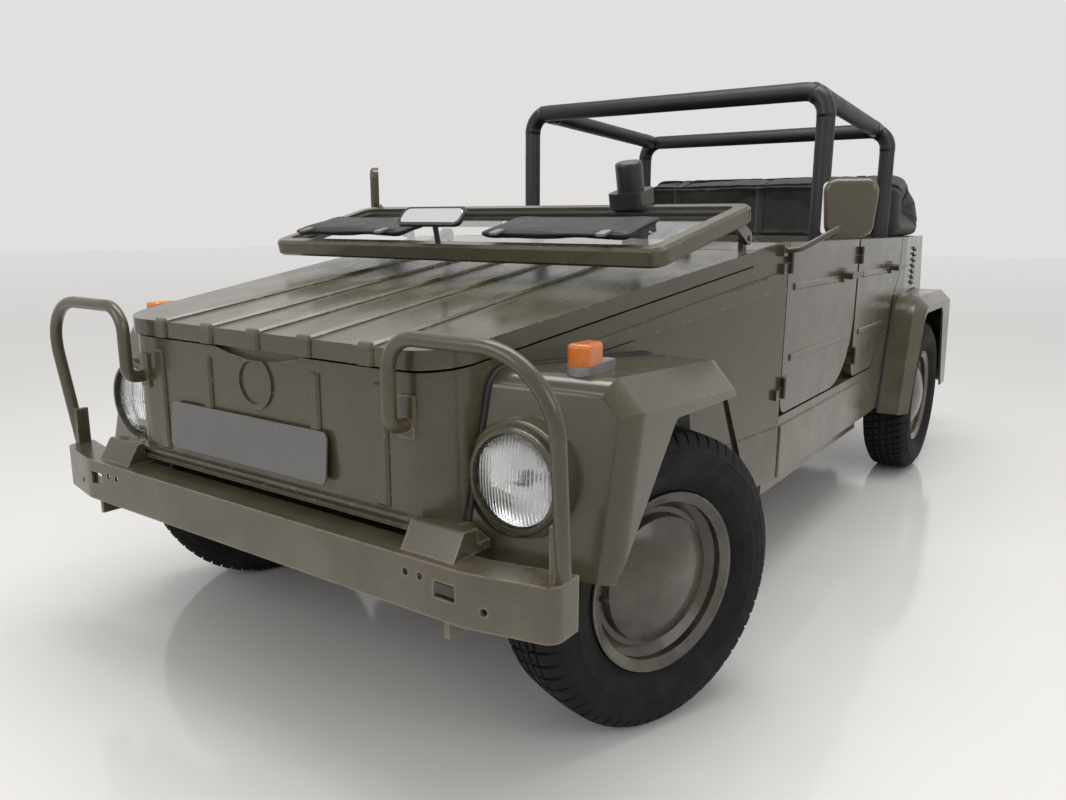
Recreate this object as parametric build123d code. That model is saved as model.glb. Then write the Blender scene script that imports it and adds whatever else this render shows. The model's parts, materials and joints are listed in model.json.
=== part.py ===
from build123d import *
import os
from math import cos, radians, sin, sqrt, tan

# Open four-door military car with its windscreen folded on the bonnet.
# Millimetres; +X is forward, +Y the car's left, +Z up; the origin is on the ground at mid-length.

# Overall layout
WHEELBASE = 2400.0
FRONT_OVERHANG = 540.0
REAR_OVERHANG = 840.0
LENGTH = FRONT_OVERHANG + WHEELBASE + REAR_OVERHANG
BODY_HALF = 669.0
FRONT_WHEEL_OUT = 8.0
REAR_WHEEL_OUT = 21.0
FRONT_TRACK = 2 * (BODY_HALF + FRONT_WHEEL_OUT)
REAR_TRACK = 2 * (BODY_HALF + REAR_WHEEL_OUT)
BELT_Z = 1005.0
SILL_Z = 320.0
DOOR_Z = 512.0
WALL = 40.0
SHUT_GAP = 7.0
FIT = 0.3
RUNNING = 0.1

BUMPER_X = LENGTH / 2
TAIL_X = -LENGTH / 2
FRONT_AXLE_X = BUMPER_X - FRONT_OVERHANG
REAR_AXLE_X = FRONT_AXLE_X - WHEELBASE
NOSE_X = BUMPER_X - 70.0
NOSE_SPLIT_X = NOSE_X - 120.0
COWL_X = FRONT_AXLE_X - 620.0
A_POST_X = FRONT_AXLE_X - 817.0
C_POST_X = REAR_AXLE_X + 160.0
B_POST_X = (A_POST_X + C_POST_X) / 2 - 48.5

# Tyres and wheels
TYRE_RADIUS = 322.0
TYRE_WIDTH = 185.0
SEAT_RADIUS = 178.0
FLANGE_RADIUS = SEAT_RADIUS + 17.0
FLANGE_HALF = 72.0
SPINDLE_RADIUS = 15.0
HUB_Z = TYRE_RADIUS
CAP_RADIUS = SEAT_RADIUS - 42.0
DRUM_RADIUS = SEAT_RADIUS - 53.0

# Steering
KINGPIN_Y = FRONT_TRACK / 2 - 65.0
KINGPIN_RADIUS = 12.0
STEER_REST = 20.0
STEER_ARM = 130.0
ROD_Z = 283.0

# Body outline
NOSE_HALF = BODY_HALF - 170.0
NOSE_CORNER = 100.0
NOSE_Z = 500.0
BONNET_FRONT_Z = BELT_Z - 169.0
TAPER_X = REAR_AXLE_X + 50.0
TAIL_PANEL_X = TAIL_X + 90.0
TAIL_HALF = BODY_HALF - 69.0
TAIL_CORNER = 90.0
TAIL_Z = 430.0
DECK_END_X = TAIL_PANEL_X + 240.0
BONNET_FLAT_X = A_POST_X + 67.0
LID_THICK = 36.0
LID_SKIN = 14.0
LID_LIP = 8.0

# Wheel houses
ARCH_Z = 700.0
HOUSE_REAR_X = FRONT_AXLE_X - 380.0
HOUSE_FRONT_Y = BODY_HALF - 249.0
HOUSE_REAR_Y = BODY_HALF - 94.0
PANEL = 12.0

# Floor
FLOOR_Z = 255.0
FLOOR_TOP_Z = 290.0
TUNNEL_HALF = 90.0
TUNNEL_Z = 430.0
FLOOR_HALF = HOUSE_REAR_Y
FLOOR_REAR_X = REAR_AXLE_X + 170.0
HEAD_Z = 310.0

# Screen pivot, shared by the bonnet hinges
PIVOT_RISE = 30.0
PIVOT_X = COWL_X - 18.0
PIVOT_RADIUS = 8.0


def bonnet_z(x):
    slope = (BELT_Z - BONNET_FRONT_Z) / (NOSE_X - BONNET_FLAT_X)
    return min(BELT_Z, BONNET_FRONT_Z + (NOSE_X - x) * slope)


PIVOT_Z = bonnet_z(PIVOT_X) + PIVOT_RISE


def outline(rows):
    """Closed face through rows of x, y and an optional corner radius, facing up its own plane."""
    area = sum(a[0] * b[1] - b[0] * a[1] for a, b in zip(rows, rows[1:] + rows[:1]))
    rows = rows if area > 0 else rows[::-1]
    face = Polygon(*[row[:2] for row in rows], align=None)
    for row in rows:
        if len(row) == 3:
            corner = face.vertices().sort_by_distance((row[0], row[1], 0))[0]
            face = fillet(corner, row[2])
    return face


def prism_y(face, y0, y1):
    return extrude(Plane(origin=(0, y1, 0), x_dir=(1, 0, 0), z_dir=(0, -1, 0)) * face, y1 - y0)


def prism_z(face, z0, z1):
    return extrude(Pos(0, 0, z0) * face, z1 - z0)


def block(x0, x1, y0, y1, z0, z1):
    size = Box(abs(x1 - x0), abs(y1 - y0), abs(z1 - z0))
    return Pos((x0 + x1) / 2, (y0 + y1) / 2, (z0 + z1) / 2) * size


def rod(start, end, radius):
    way = Vector(end) - Vector(start)
    return extrude(Plane(origin=start, z_dir=way) * Circle(radius), way.length)


def tube(points, corners, radius):
    """Round bar through points: straight lengths joined by ring pieces of the given corner radii."""
    spots = [Vector(*point) for point in points]
    start = spots[0]
    bar = None
    for before, spot, after, corner in zip(spots, spots[1:], spots[2:], corners):
        along = (spot - before).normalized()
        onward = (after - spot).normalized()
        turn = along.get_angle(onward)
        reach = corner * tan(radians(turn / 2))
        bend_start = spot - along * reach
        axis = along.cross(onward).normalized()
        centre = bend_start + axis.cross(along) * corner
        end_face = Plane(origin=bend_start, z_dir=along) * Circle(radius)
        piece = rod(start, bend_start, radius) + revolve(end_face, Axis(centre, axis), turn)
        bar = piece if bar is None else bar + piece
        start = spot + onward * reach
    return bar + rod(start, spots[-1], radius)


def flip(shape):
    return mirror(shape, about=Plane.XZ)


def save(name, *pieces):
    shape = pieces[0] if len(pieces) == 1 else Compound(children=list(pieces))
    export_step(shape, f"parts/{name}.step")


os.makedirs("parts", exist_ok=True)


# Body walls: one ring in plan, cut into panels by side outlines
def plan_face(inset):
    half = [
        (NOSE_X, NOSE_HALF, NOSE_CORNER),
        (A_POST_X, BODY_HALF),
        (TAPER_X, BODY_HALF),
        (TAIL_PANEL_X, TAIL_HALF, TAIL_CORNER),
    ]
    other = [(row[0], -row[1], *row[2:]) for row in reversed(half)]
    face = outline(half + other)
    return offset(face, -inset, kind=Kind.INTERSECTION) if inset else face


RING_TOP = BELT_Z + 200.0
outer_volume = prism_z(plan_face(0), 0, RING_TOP)
inner_volume = prism_z(plan_face(WALL), 0, RING_TOP)
ring = outer_volume - inner_volume
left_ring = ring & block(TAIL_X, BUMPER_X, 0, BODY_HALF, 0, RING_TOP)


def wall(rows):
    return left_ring & prism_y(outline(rows), 0, BODY_HALF + 1)


def wall_top(x):
    """Height of a fixed wall under the bonnet or the cowl plate."""
    gap = SHUT_GAP if x > COWL_X else 0
    return bonnet_z(x) - LID_THICK - gap


def raised(out, bevel, rows):
    """Pressed band that stands out of the left wall inside a side outline, with bevelled edges."""
    skin = prism_z(plan_face(-out), 0, RING_TOP) - outer_volume
    band = skin & prism_y(outline(rows), 0, BODY_HALF + out + 1)
    outside = max(band.faces(), key=lambda face: face.normal_at().Y)
    return chamfer(outside.edges(), bevel)


def tail_line(z):
    """X of the leaning tail panel's outer face at a height."""
    share = (BELT_Z - z) / (BELT_Z - TAIL_Z)
    return DECK_END_X + (TAIL_PANEL_X - DECK_END_X) * share


# Doors
FRONT_DOOR_CORNER = 250.0
REAR_DOOR_FOOT_X = REAR_AXLE_X + 530.0
REAR_DOOR_RISE_Z = BELT_Z - 155.0
POST_GAP = 8.0
SWING_GAP = 13.0
front_door_rows = [
    (A_POST_X - SHUT_GAP, DOOR_Z, 40.0),
    (A_POST_X - SHUT_GAP, BELT_Z),
    (B_POST_X + SWING_GAP, BELT_Z),
    (B_POST_X + SWING_GAP, DOOR_Z, FRONT_DOOR_CORNER),
]
rear_door_rows = [
    (B_POST_X - POST_GAP, DOOR_Z, 40.0),
    (B_POST_X - POST_GAP, BELT_Z),
    (C_POST_X, BELT_Z),
    (C_POST_X, REAR_DOOR_RISE_Z, 120.0),
    (REAR_DOOR_FOOT_X, DOOR_Z, 60.0),
]
HINGE_OUT = 10.0
HINGE_RADIUS = 6.0
PIN_RADIUS = 3.5
HINGE_HALF = 30.0
LEAF_LENGTH = 46.0
LEAF_THICK = 6.0
LEAF_SINK = 10.0
HINGE_HEIGHTS = (DOOR_Z + 80.0, BELT_Z - 55.0)
HANDLE_Z = BELT_Z - 115.0
HANDLE_BACK = 195.0
HANDLE_OUT = 40.0
HANDLE_LONG = 118.0
HANDLE_BOSS = 24.0
BEAD_HEIGHTS = (BELT_Z - 125.0, DOOR_Z + 161.0)
BEAD_HALF = 10.0
BEAD_OUT = 5.0
BEAD_BEVEL = 3.0
BEAD_MARGIN = 55.0


def hinge(x, z, ahead):
    """One outside hinge at the shut line: the fixed half when ahead is 1, the door's half when -1."""
    y = BODY_HALF + HINGE_OUT
    low, high = (z - HINGE_HALF, z - 1) if ahead > 0 else (z + 1, z + HINGE_HALF)
    barrel = rod((x, y, low), (x, y, high), HINGE_RADIUS)
    leaf = block(x, x + ahead * LEAF_LENGTH, BODY_HALF - LEAF_SINK, BODY_HALF + LEAF_THICK, low, high)
    return barrel + leaf


def hinge_pin(x, z):
    y = BODY_HALF + HINGE_OUT
    return rod((x, y, z - 1), (x, y, z + HINGE_HALF - 2), PIN_RADIUS)


def rear_edge(rows, z):
    """X of a door's rear edge at a height, past its slanted foot."""
    rear_x = min(row[0] for row in rows)
    foot = rows[-1]
    if z >= REAR_DOOR_RISE_Z or foot[0] == rear_x:
        return rear_x
    return foot[0] + (rear_x - foot[0]) * (z - foot[1]) / (REAR_DOOR_RISE_Z - foot[1])


def door_handle(x):
    """Round rose with a lever that tapers towards the rear."""
    y = BODY_HALF
    rose = rod((x, y - 2, HANDLE_Z), (x, y + HANDLE_OUT / 3, HANDLE_Z), HANDLE_BOSS)
    stem = rod((x, y, HANDLE_Z), (x, y + HANDLE_OUT - 4, HANDLE_Z), HANDLE_BOSS / 2)
    lever = outline([
        (x + HANDLE_BOSS / 2, HANDLE_Z - 13, 10.0),
        (x + HANDLE_BOSS / 2, HANDLE_Z + 13, 10.0),
        (x - HANDLE_LONG, HANDLE_Z + 7, 6.0),
        (x - HANDLE_LONG, HANDLE_Z - 7, 6.0),
    ])
    return rose + stem + prism_y(lever, y + HANDLE_OUT - 16, y + HANDLE_OUT)


def door(rows, hinge_x):
    panel = wall(rows)
    front_x = max(row[0] for row in rows) - BEAD_MARGIN
    for z in BEAD_HEIGHTS:
        back_x = rear_edge(rows, z) + BEAD_MARGIN
        panel += raised(BEAD_OUT, BEAD_BEVEL, [
            (back_x, z - BEAD_HALF),
            (front_x, z - BEAD_HALF),
            (front_x, z + BEAD_HALF),
            (back_x, z + BEAD_HALF),
        ])
    shut_line = block(hinge_x - SHUT_GAP, hinge_x + SHUT_GAP, 0, BODY_HALF, 0, BELT_Z)
    y = BODY_HALF + HINGE_OUT
    for z in HINGE_HEIGHTS:
        panel += hinge(hinge_x, z, -1) - shut_line
        panel -= rod((hinge_x, y, z - 5), (hinge_x, y, z + HINGE_HALF + 5), PIN_RADIUS + RUNNING)
    return panel + door_handle(min(row[0] for row in rows) + HANDLE_BACK)


front_door = door(front_door_rows, A_POST_X)
rear_door = door(rear_door_rows, B_POST_X)
save("door_front_left", front_door)
save("door_front_right", flip(front_door))
save("door_rear_left", rear_door)
save("door_rear_right", flip(rear_door))

# Cowl side with the front post, above and behind the front wheel house
front_side = wall([
    (A_POST_X, SILL_Z),
    (HOUSE_REAR_X, SILL_Z),
    (HOUSE_REAR_X + 60, ARCH_Z),
    (NOSE_SPLIT_X, ARCH_Z),
    (NOSE_SPLIT_X, wall_top(NOSE_SPLIT_X)),
    (COWL_X + 1, wall_top(COWL_X + 1)),
    (COWL_X, wall_top(COWL_X)),
    (BONNET_FLAT_X, wall_top(BONNET_FLAT_X)),
    (A_POST_X, wall_top(A_POST_X)),
])
SIDE_RIB_OUT = 8.0
SIDE_RIB_BEVEL = 5.0
side_rib_rows = [
    (FRONT_AXLE_X + 50, bonnet_z(FRONT_AXLE_X + 50) - 108),
    (FRONT_AXLE_X + 50, bonnet_z(FRONT_AXLE_X + 50) - 79),
    (A_POST_X + 50, bonnet_z(A_POST_X + 50) - 79),
    (A_POST_X + 50, bonnet_z(A_POST_X + 50) - 132),
]
front_side += raised(SIDE_RIB_OUT, SIDE_RIB_BEVEL, side_rib_rows)
SILL_CREASE_Z = 478.0
SILL_OUT = 6.0
SILL_BEVEL = 4.0


def sill_band(back_x, front_x):
    """Lower body edge, which stands out below the crease line."""
    return raised(SILL_OUT, SILL_BEVEL, [
        (back_x, SILL_Z),
        (front_x, SILL_Z),
        (front_x, SILL_CREASE_Z),
        (back_x, SILL_CREASE_Z),
    ])


front_side += sill_band(A_POST_X + SHUT_GAP, HOUSE_REAR_X - PANEL)
for z in HINGE_HEIGHTS:
    fixed = hinge(A_POST_X, z, 1) - block(A_POST_X - SHUT_GAP, A_POST_X, 0, BODY_HALF, 0, BELT_Z)
    front_side += fixed + hinge_pin(A_POST_X, z)
save("cowl_side_left", front_side)
save("cowl_side_right", flip(front_side))

# Sill with the middle post inside the doors
SILL_IN = FLOOR_HALF
POST_HALF = 35.0
POST_IN = BODY_HALF - WALL - 5.0
sill_top = DOOR_Z - SHUT_GAP
sill = wall([
    (REAR_DOOR_FOOT_X, SILL_Z),
    (A_POST_X, SILL_Z),
    (A_POST_X, sill_top),
    (REAR_DOOR_FOOT_X, sill_top),
])
sill += sill_band(REAR_DOOR_FOOT_X, A_POST_X - SHUT_GAP)
sill += block(REAR_DOOR_FOOT_X, A_POST_X, SILL_IN, BODY_HALF - WALL, SILL_Z - 60, sill_top)
sill += block(B_POST_X - POST_HALF, B_POST_X + POST_HALF, SILL_IN, POST_IN, sill_top, BELT_Z - 20)
LINK_HALF = 2.5
for z in HINGE_HEIGHTS:
    y = BODY_HALF + HINGE_OUT
    sill += rod((B_POST_X, y, z - HINGE_HALF), (B_POST_X, y, z - 1), HINGE_RADIUS)
    sill += block(B_POST_X - LINK_HALF, B_POST_X + LINK_HALF, POST_IN, y, z - HINGE_HALF, z - 1)
    sill += hinge_pin(B_POST_X, z)
save("sill_left", sill)
save("sill_right", flip(sill))

# Rear quarter with air louvres
QUARTER_ARCH_Z = 715.0
LOUVRES = 7
LOUVRE_PITCH = 25.0
LOUVRE_LENGTH = 150.0
LOUVRE_LOW_Z = 790.0
LOUVRE_X = REAR_AXLE_X - 150.0
QUARTER_GAP = 9.0
quarter = wall([
    (C_POST_X - QUARTER_GAP, BELT_Z),
    (C_POST_X - QUARTER_GAP, REAR_DOOR_RISE_Z, 113.0),
    (REAR_DOOR_FOOT_X - QUARTER_GAP, DOOR_Z - SHUT_GAP),
    (REAR_DOOR_FOOT_X, DOOR_Z - SHUT_GAP),
    (REAR_DOOR_FOOT_X, SILL_Z),
    (REAR_AXLE_X + 360, SILL_Z),
    (REAR_AXLE_X + 200, QUARTER_ARCH_Z),
    (REAR_AXLE_X - 250, QUARTER_ARCH_Z),
    (REAR_AXLE_X - 370, TAIL_Z),
    (tail_line(TAIL_Z), TAIL_Z),
    (tail_line(BELT_Z), BELT_Z),
])
LOUVRE_SLOT = 9.0
HOOD_OUT = 9.0
HOOD_HIGH = 11.0
HOOD_BEVEL = 3.0
for step in range(LOUVRES):
    z = LOUVRE_LOW_Z + step * LOUVRE_PITCH
    top = z + LOUVRE_SLOT
    quarter -= block(LOUVRE_X - LOUVRE_LENGTH, LOUVRE_X, HOUSE_REAR_Y, BODY_HALF, z, top)
    quarter += raised(HOOD_OUT, HOOD_BEVEL, [
        (LOUVRE_X - LOUVRE_LENGTH, top),
        (LOUVRE_X, top),
        (LOUVRE_X, top + HOOD_HIGH),
        (LOUVRE_X - LOUVRE_LENGTH, top + HOOD_HIGH),
    ])
save("rear_quarter_left", quarter)
save("rear_quarter_right", flip(quarter))

# Nose
RIB_OUT = 7.0
RIB_BEVEL = 5.0
NOSE_RIBS = (
    dict(y=NOSE_HALF - 144.0, width=34.0, low=532.0, high=768.0),
    dict(y=NOSE_HALF - 325.0, width=30.0, low=545.0, high=768.0),
)
BOSS_Y = -12.0
BOSS_Z = 728.0
BOSS_RADIUS = 58.0
BOSS_BAND = 12.0
BOSS_OUT = 5.0
HOLD_HALF = 140.0
HOLD_DEEP = 18.0
LIP_OUT = 9.0
LIP_BACK = 45.0
LIP_BANDS = ((0.0, 10.0), (18.0, 25.0))
nose_cut = prism_y(
    outline([
        (NOSE_SPLIT_X, NOSE_Z),
        (NOSE_X + 20, NOSE_Z),
        (NOSE_X + 20, wall_top(NOSE_X + 20)),
        (NOSE_SPLIT_X, wall_top(NOSE_SPLIT_X)),
    ]),
    -BODY_HALF,
    BODY_HALF,
)
nose = ring & nose_cut
for rib in NOSE_RIBS:
    half = rib["width"] / 2
    bead = block(NOSE_X, NOSE_X + RIB_OUT, rib["y"] - half, rib["y"] + half, rib["low"], rib["high"])
    bead = chamfer(bead.faces().sort_by(Axis.X)[-1].edges(), RIB_BEVEL)
    nose += bead + flip(bead)
ring_face = Circle(BOSS_RADIUS) - Circle(BOSS_RADIUS - BOSS_BAND)
nose += extrude(Plane(origin=(NOSE_X, BOSS_Y, BOSS_Z), z_dir=(1, 0, 0)) * ring_face, BOSS_OUT)
lip_front = block(NOSE_X - LIP_BACK, BUMPER_X, -BODY_HALF, BODY_HALF, 0, BELT_Z)
for low, high in LIP_BANDS:
    band = prism_z(plan_face(-LIP_OUT), NOSE_Z + low, NOSE_Z + high) - outer_volume
    nose += band & lip_front
hold_radius = (HOLD_HALF ** 2 + HOLD_DEEP ** 2) / (2 * HOLD_DEEP)
hold_z = wall_top(NOSE_X) - HOLD_DEEP + hold_radius
nose -= rod((NOSE_X - 14, 0, hold_z), (NOSE_X + RIB_OUT, 0, hold_z), hold_radius)
save("nose_panel", nose)

# Front luggage tub with wheel house walls and the bulkhead
TUB_Z = 440.0
under_lid = prism_y(
    outline([
        (A_POST_X, 0),
        (NOSE_X, 0),
        (NOSE_X, wall_top(NOSE_X)),
        (COWL_X + 1, wall_top(COWL_X + 1)),
        (COWL_X, wall_top(COWL_X)),
        (BONNET_FLAT_X, wall_top(BONNET_FLAT_X)),
        (A_POST_X, wall_top(A_POST_X)),
    ]),
    -BODY_HALF,
    BODY_HALF,
)
bulkhead = block(HOUSE_REAR_X - 2 * PANEL, HOUSE_REAR_X, -BODY_HALF, BODY_HALF, FLOOR_TOP_Z, BELT_Z)
tub_floor = block(HOUSE_REAR_X, NOSE_X, -HOUSE_FRONT_Y, HOUSE_FRONT_Y, TUB_Z, TUB_Z + PANEL)
tub = bulkhead + tub_floor
for side in (1, -1):
    inner = side * (HOUSE_FRONT_Y - PANEL)
    tub += block(HOUSE_REAR_X, NOSE_X, inner, side * HOUSE_FRONT_Y, TUB_Z, ARCH_Z + PANEL)
    tub += block(HOUSE_REAR_X, NOSE_X, inner, side * BODY_HALF, ARCH_Z, ARCH_Z + PANEL)
tub = tub & inner_volume & under_lid
tub -= block(0, HOUSE_REAR_X + 1, -TUNNEL_HALF, TUNNEL_HALF, 0, TUNNEL_Z)
save("luggage_tub", tub)

# Cowl plate, dashboard and the ears that carry the screen and bonnet pins
DASH_FRONT_X = A_POST_X
DASH_BACK_X = A_POST_X - 38.0
DASH_HALF = BODY_HALF - WALL - 8.0
DASH_LOW_Z = BELT_Z - 175.0
SCREEN_EAR_Y = BODY_HALF - 63.0
BONNET_EAR_Y = BODY_HALF - 239.0
EAR_THICK = 14.0
EAR_HALF = 16.0
PIN_REACH = 18.0
EYE_RADIUS = 18.0
cowl_rows = [
    (A_POST_X, wall_top(A_POST_X)),
    (A_POST_X, BELT_Z),
    (BONNET_FLAT_X, BELT_Z),
    (COWL_X - SHUT_GAP, bonnet_z(COWL_X - SHUT_GAP)),
    (COWL_X - SHUT_GAP, wall_top(COWL_X - SHUT_GAP)),
    (BONNET_FLAT_X, wall_top(BONNET_FLAT_X)),
]
cowl = prism_y(outline(cowl_rows), -BODY_HALF, BODY_HALF) & outer_volume
cowl += block(DASH_BACK_X, DASH_FRONT_X, -DASH_HALF, DASH_HALF, DASH_LOW_Z, BELT_Z)


def pivot_ear(y):
    """Ear on the cowl plate with a pin pointing outward."""
    foot = bonnet_z(PIVOT_X) - 10
    ear = block(PIVOT_X - EAR_HALF, PIVOT_X + EAR_HALF / 2, y - EAR_THICK, y, foot, PIVOT_Z)
    ear += rod((PIVOT_X, y - EAR_THICK, PIVOT_Z), (PIVOT_X, y, PIVOT_Z), EAR_HALF - 2)
    return ear + rod((PIVOT_X, y, PIVOT_Z), (PIVOT_X, y + PIN_REACH, PIVOT_Z), PIVOT_RADIUS)


for y in (SCREEN_EAR_Y, BONNET_EAR_Y):
    cowl += pivot_ear(y) + flip(pivot_ear(y))
save("cowl_and_dash", cowl)

# Bonnet with lengthwise ribs and strap hinges
RIB_SPAN = NOSE_HALF - 172.0
BONNET_RIBS = [RIB_SPAN * share for share in (-1.0, -0.48, 0.0, 0.48, 1.0)]
BONNET_RIB_HALF = 21.0
BONNET_RIB_UP = 7.0
BONNET_RIB_BEVEL = 5.0
RIB_BACK = 60.0
RIB_RAMP = 20.0
RIB_SINK = 4.0
RIB_NOSE_ROUND = 14.0
lid_front_x = NOSE_X + LID_LIP


def under_slope(x0, x1, top, bottom, y0, y1):
    rows = [
        (x0, bonnet_z(x0) + bottom),
        (x1, bonnet_z(x1) + bottom),
        (x1, bonnet_z(x1) + top),
        (x0, bonnet_z(x0) + top),
    ]
    return prism_y(outline(rows), y0, y1)


lid_plan = prism_z(plan_face(-LID_LIP), 0, RING_TOP)
lid_hollow = prism_z(plan_face(LID_SKIN), 0, RING_TOP)
bonnet = under_slope(COWL_X, lid_front_x, 0, -LID_THICK, -BODY_HALF, BODY_HALF) & lid_plan
hollow = under_slope(COWL_X + LID_SKIN, lid_front_x, -LID_SKIN, -LID_THICK - 1, -BODY_HALF, BODY_HALF)
bonnet -= hollow & lid_hollow


def bonnet_rib(y):
    """Raised rib along the bonnet that runs down over its front lip, with bevelled sides."""
    back = COWL_X + RIB_BACK
    tip = lid_front_x + BONNET_RIB_UP
    lip_z = bonnet_z(lid_front_x) - LID_THICK
    rows = [
        (back, bonnet_z(back) - RIB_SINK),
        (back, bonnet_z(back)),
        (back + RIB_RAMP, bonnet_z(back + RIB_RAMP) + BONNET_RIB_UP),
        (tip, bonnet_z(tip) + BONNET_RIB_UP, RIB_NOSE_ROUND),
        (tip, lip_z),
        (lid_front_x - RIB_SINK, lip_z),
        (lid_front_x - RIB_SINK, bonnet_z(lid_front_x) - RIB_SINK),
    ]
    rib = prism_y(outline(rows), y - BONNET_RIB_HALF, y + BONNET_RIB_HALF)
    sides = []
    for edge in rib.edges():
        place = edge.center()
        on_side = abs(abs(place.Y - y) - BONNET_RIB_HALF) < 0.1
        proud = place.Z > bonnet_z(place.X) + BONNET_RIB_UP / 3 or place.X > lid_front_x + 1
        if on_side and proud and place.Z > lip_z + 1:
            sides.append(edge)
    return chamfer(sides, BONNET_RIB_BEVEL)


for y in BONNET_RIBS:
    bonnet += bonnet_rib(y)
STRAP_LENGTH = 90.0
STRAP_HALF = 6.0


def bonnet_strap(y):
    middle = y + FIT + STRAP_HALF
    eye = ((PIVOT_X, middle - STRAP_HALF, PIVOT_Z), (PIVOT_X, middle + STRAP_HALF, PIVOT_Z))
    strap = rod(*eye, EYE_RADIUS - 2)
    x1 = COWL_X + STRAP_LENGTH
    rows = [
        (PIVOT_X, PIVOT_Z - EYE_RADIUS + 6),
        (COWL_X + 4, bonnet_z(COWL_X + 4) + 0.5),
        (COWL_X + 4, bonnet_z(COWL_X + 4) - 4),
        (x1, bonnet_z(x1) - 4),
        (x1, bonnet_z(x1) + 8),
        (PIVOT_X, PIVOT_Z + EYE_RADIUS - 2),
    ]
    strap += prism_y(outline(rows), middle - STRAP_HALF, middle + STRAP_HALF)
    return strap - rod((PIVOT_X, y, PIVOT_Z), (PIVOT_X, y + 50, PIVOT_Z), PIVOT_RADIUS + RUNNING)


strap = bonnet_strap(BONNET_EAR_Y)
bonnet += strap + flip(strap)
save("bonnet", bonnet)

# Windscreen, lying folded on the bonnet
SCREEN_REAR_X = COWL_X + 97.0
SCREEN_REAR_Z = BELT_Z + 81.0
SCREEN_TILT = 13.7
SCREEN_HEIGHT = 448.0
SCREEN_LOW_HALF = BODY_HALF + 11.0
SCREEN_TOP_HALF = BODY_HALF - 34.0
RAIL = 36.0
RAIL_DEEP = 44.0
GLASS_THICK = 6.0
RAIL_BEVEL = 7.0
APRON = 38.0
APRON_SHORT = 60.0
APRON_THICK = 8.0
on_screen = Pos(SCREEN_REAR_X, 0, SCREEN_REAR_Z) * Rot(0, SCREEN_TILT, 0)


def screen_face(inset):
    slope = (SCREEN_LOW_HALF - SCREEN_TOP_HALF) / SCREEN_HEIGHT
    low = SCREEN_LOW_HALF - inset * (1 + slope)
    top = SCREEN_TOP_HALF - inset * (1 - slope)
    rows = [
        (inset, low, 40.0 - inset / 2),
        (SCREEN_HEIGHT - inset, top, 40.0 - inset / 2),
        (SCREEN_HEIGHT - inset, -top, 40.0 - inset / 2),
        (inset, -low, 40.0 - inset / 2),
    ]
    return outline(rows)


frame = prism_z(screen_face(0), -RAIL_DEEP / 2, RAIL_DEEP / 2)
frame = chamfer(frame.faces().sort_by(Axis.Z)[-1].edges(), RAIL_BEVEL)
frame = chamfer(frame.faces().sort_by(Axis.Z)[0].edges(), RAIL_BEVEL)
frame -= prism_z(screen_face(RAIL), -RAIL_DEEP, RAIL_DEEP)
apron_half = SCREEN_LOW_HALF - APRON_SHORT
frame += block(-APRON, RAIL / 2, -apron_half, apron_half, -APRON_THICK / 2, APRON_THICK / 2)
frame = on_screen * frame
ARM_THICK = 14.0


def screen_arm(y):
    low = y + FIT
    high = low + ARM_THICK
    arm = rod((PIVOT_X, low, PIVOT_Z), (PIVOT_X, high, PIVOT_Z), EYE_RADIUS)
    rows = [
        (PIVOT_X - 12, PIVOT_Z + 14),
        (PIVOT_X + 12, PIVOT_Z - 14),
        (SCREEN_REAR_X + 26, SCREEN_REAR_Z - 16),
        (SCREEN_REAR_X + 8, SCREEN_REAR_Z + 8),
    ]
    arm += prism_y(outline(rows), low, high)
    return arm - rod((PIVOT_X, y, PIVOT_Z), (PIVOT_X, y + 60, PIVOT_Z), PIVOT_RADIUS + RUNNING)


arm = screen_arm(SCREEN_EAR_Y)
frame += arm + flip(arm)
save("windscreen_frame", frame)
glass = prism_z(screen_face(RAIL + FIT), -GLASS_THICK / 2, GLASS_THICK / 2)
save("windscreen_glass", on_screen * glass)

VISOR_LENGTH = SCREEN_TOP_HALF - 210.0
VISOR_WIDE = 172.0
VISOR_THICK = 20.0
VISOR_IN = 130.0
VISOR_CORNER = 45.0
VISOR_LIFT = 10.0
CLIP_RADIUS = 7.0
rail_top = RAIL_DEEP / 2
front_rail_x = SCREEN_HEIGHT - RAIL / 2
visor_out = VISOR_IN + VISOR_LENGTH
visor_face = outline([
    (front_rail_x, VISOR_IN, VISOR_CORNER / 3),
    (front_rail_x, visor_out, VISOR_CORNER / 3),
    (front_rail_x - VISOR_WIDE, visor_out - VISOR_CORNER / 2, VISOR_CORNER),
    (front_rail_x - VISOR_WIDE, VISOR_IN + VISOR_CORNER / 2, VISOR_CORNER),
])
visor = prism_z(visor_face, rail_top + VISOR_LIFT, rail_top + VISOR_LIFT + VISOR_THICK)
visor = fillet(visor.faces().sort_by(Axis.Z)[-1].edges(), VISOR_THICK / 3)
for share in (0.15, 0.85):
    clip_y = VISOR_IN + VISOR_LENGTH * share
    clip_foot = (front_rail_x, clip_y, rail_top)
    visor += rod(clip_foot, (front_rail_x, clip_y, rail_top + VISOR_LIFT + 2), CLIP_RADIUS)
save("sun_visors", on_screen * visor, on_screen * flip(visor))

MIRROR_LONG = 210.0
MIRROR_TALL = 62.0
MIRROR_THICK = 16.0
MIRROR_TILT = 32.0
STEM_RADIUS = 7.0
STEM_HIGH = 58.0
glass_face = RectangleRounded(MIRROR_TALL, MIRROR_LONG, MIRROR_TALL / 3)
mirror_head = extrude(glass_face, MIRROR_THICK)
mirror_head = chamfer(mirror_head.faces().sort_by(Axis.Z)[0].edges(), MIRROR_THICK / 2)
stem_top = rail_top + STEM_HIGH
stem_end = (front_rail_x, 0, stem_top + MIRROR_THICK / 2)
inside_mirror = rod((front_rail_x, 0, rail_top), stem_end, STEM_RADIUS)
inside_mirror += Pos(front_rail_x, 0, stem_top) * Rot(0, MIRROR_TILT, 0) * mirror_head
save("inside_mirror", on_screen * inside_mirror)

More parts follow.
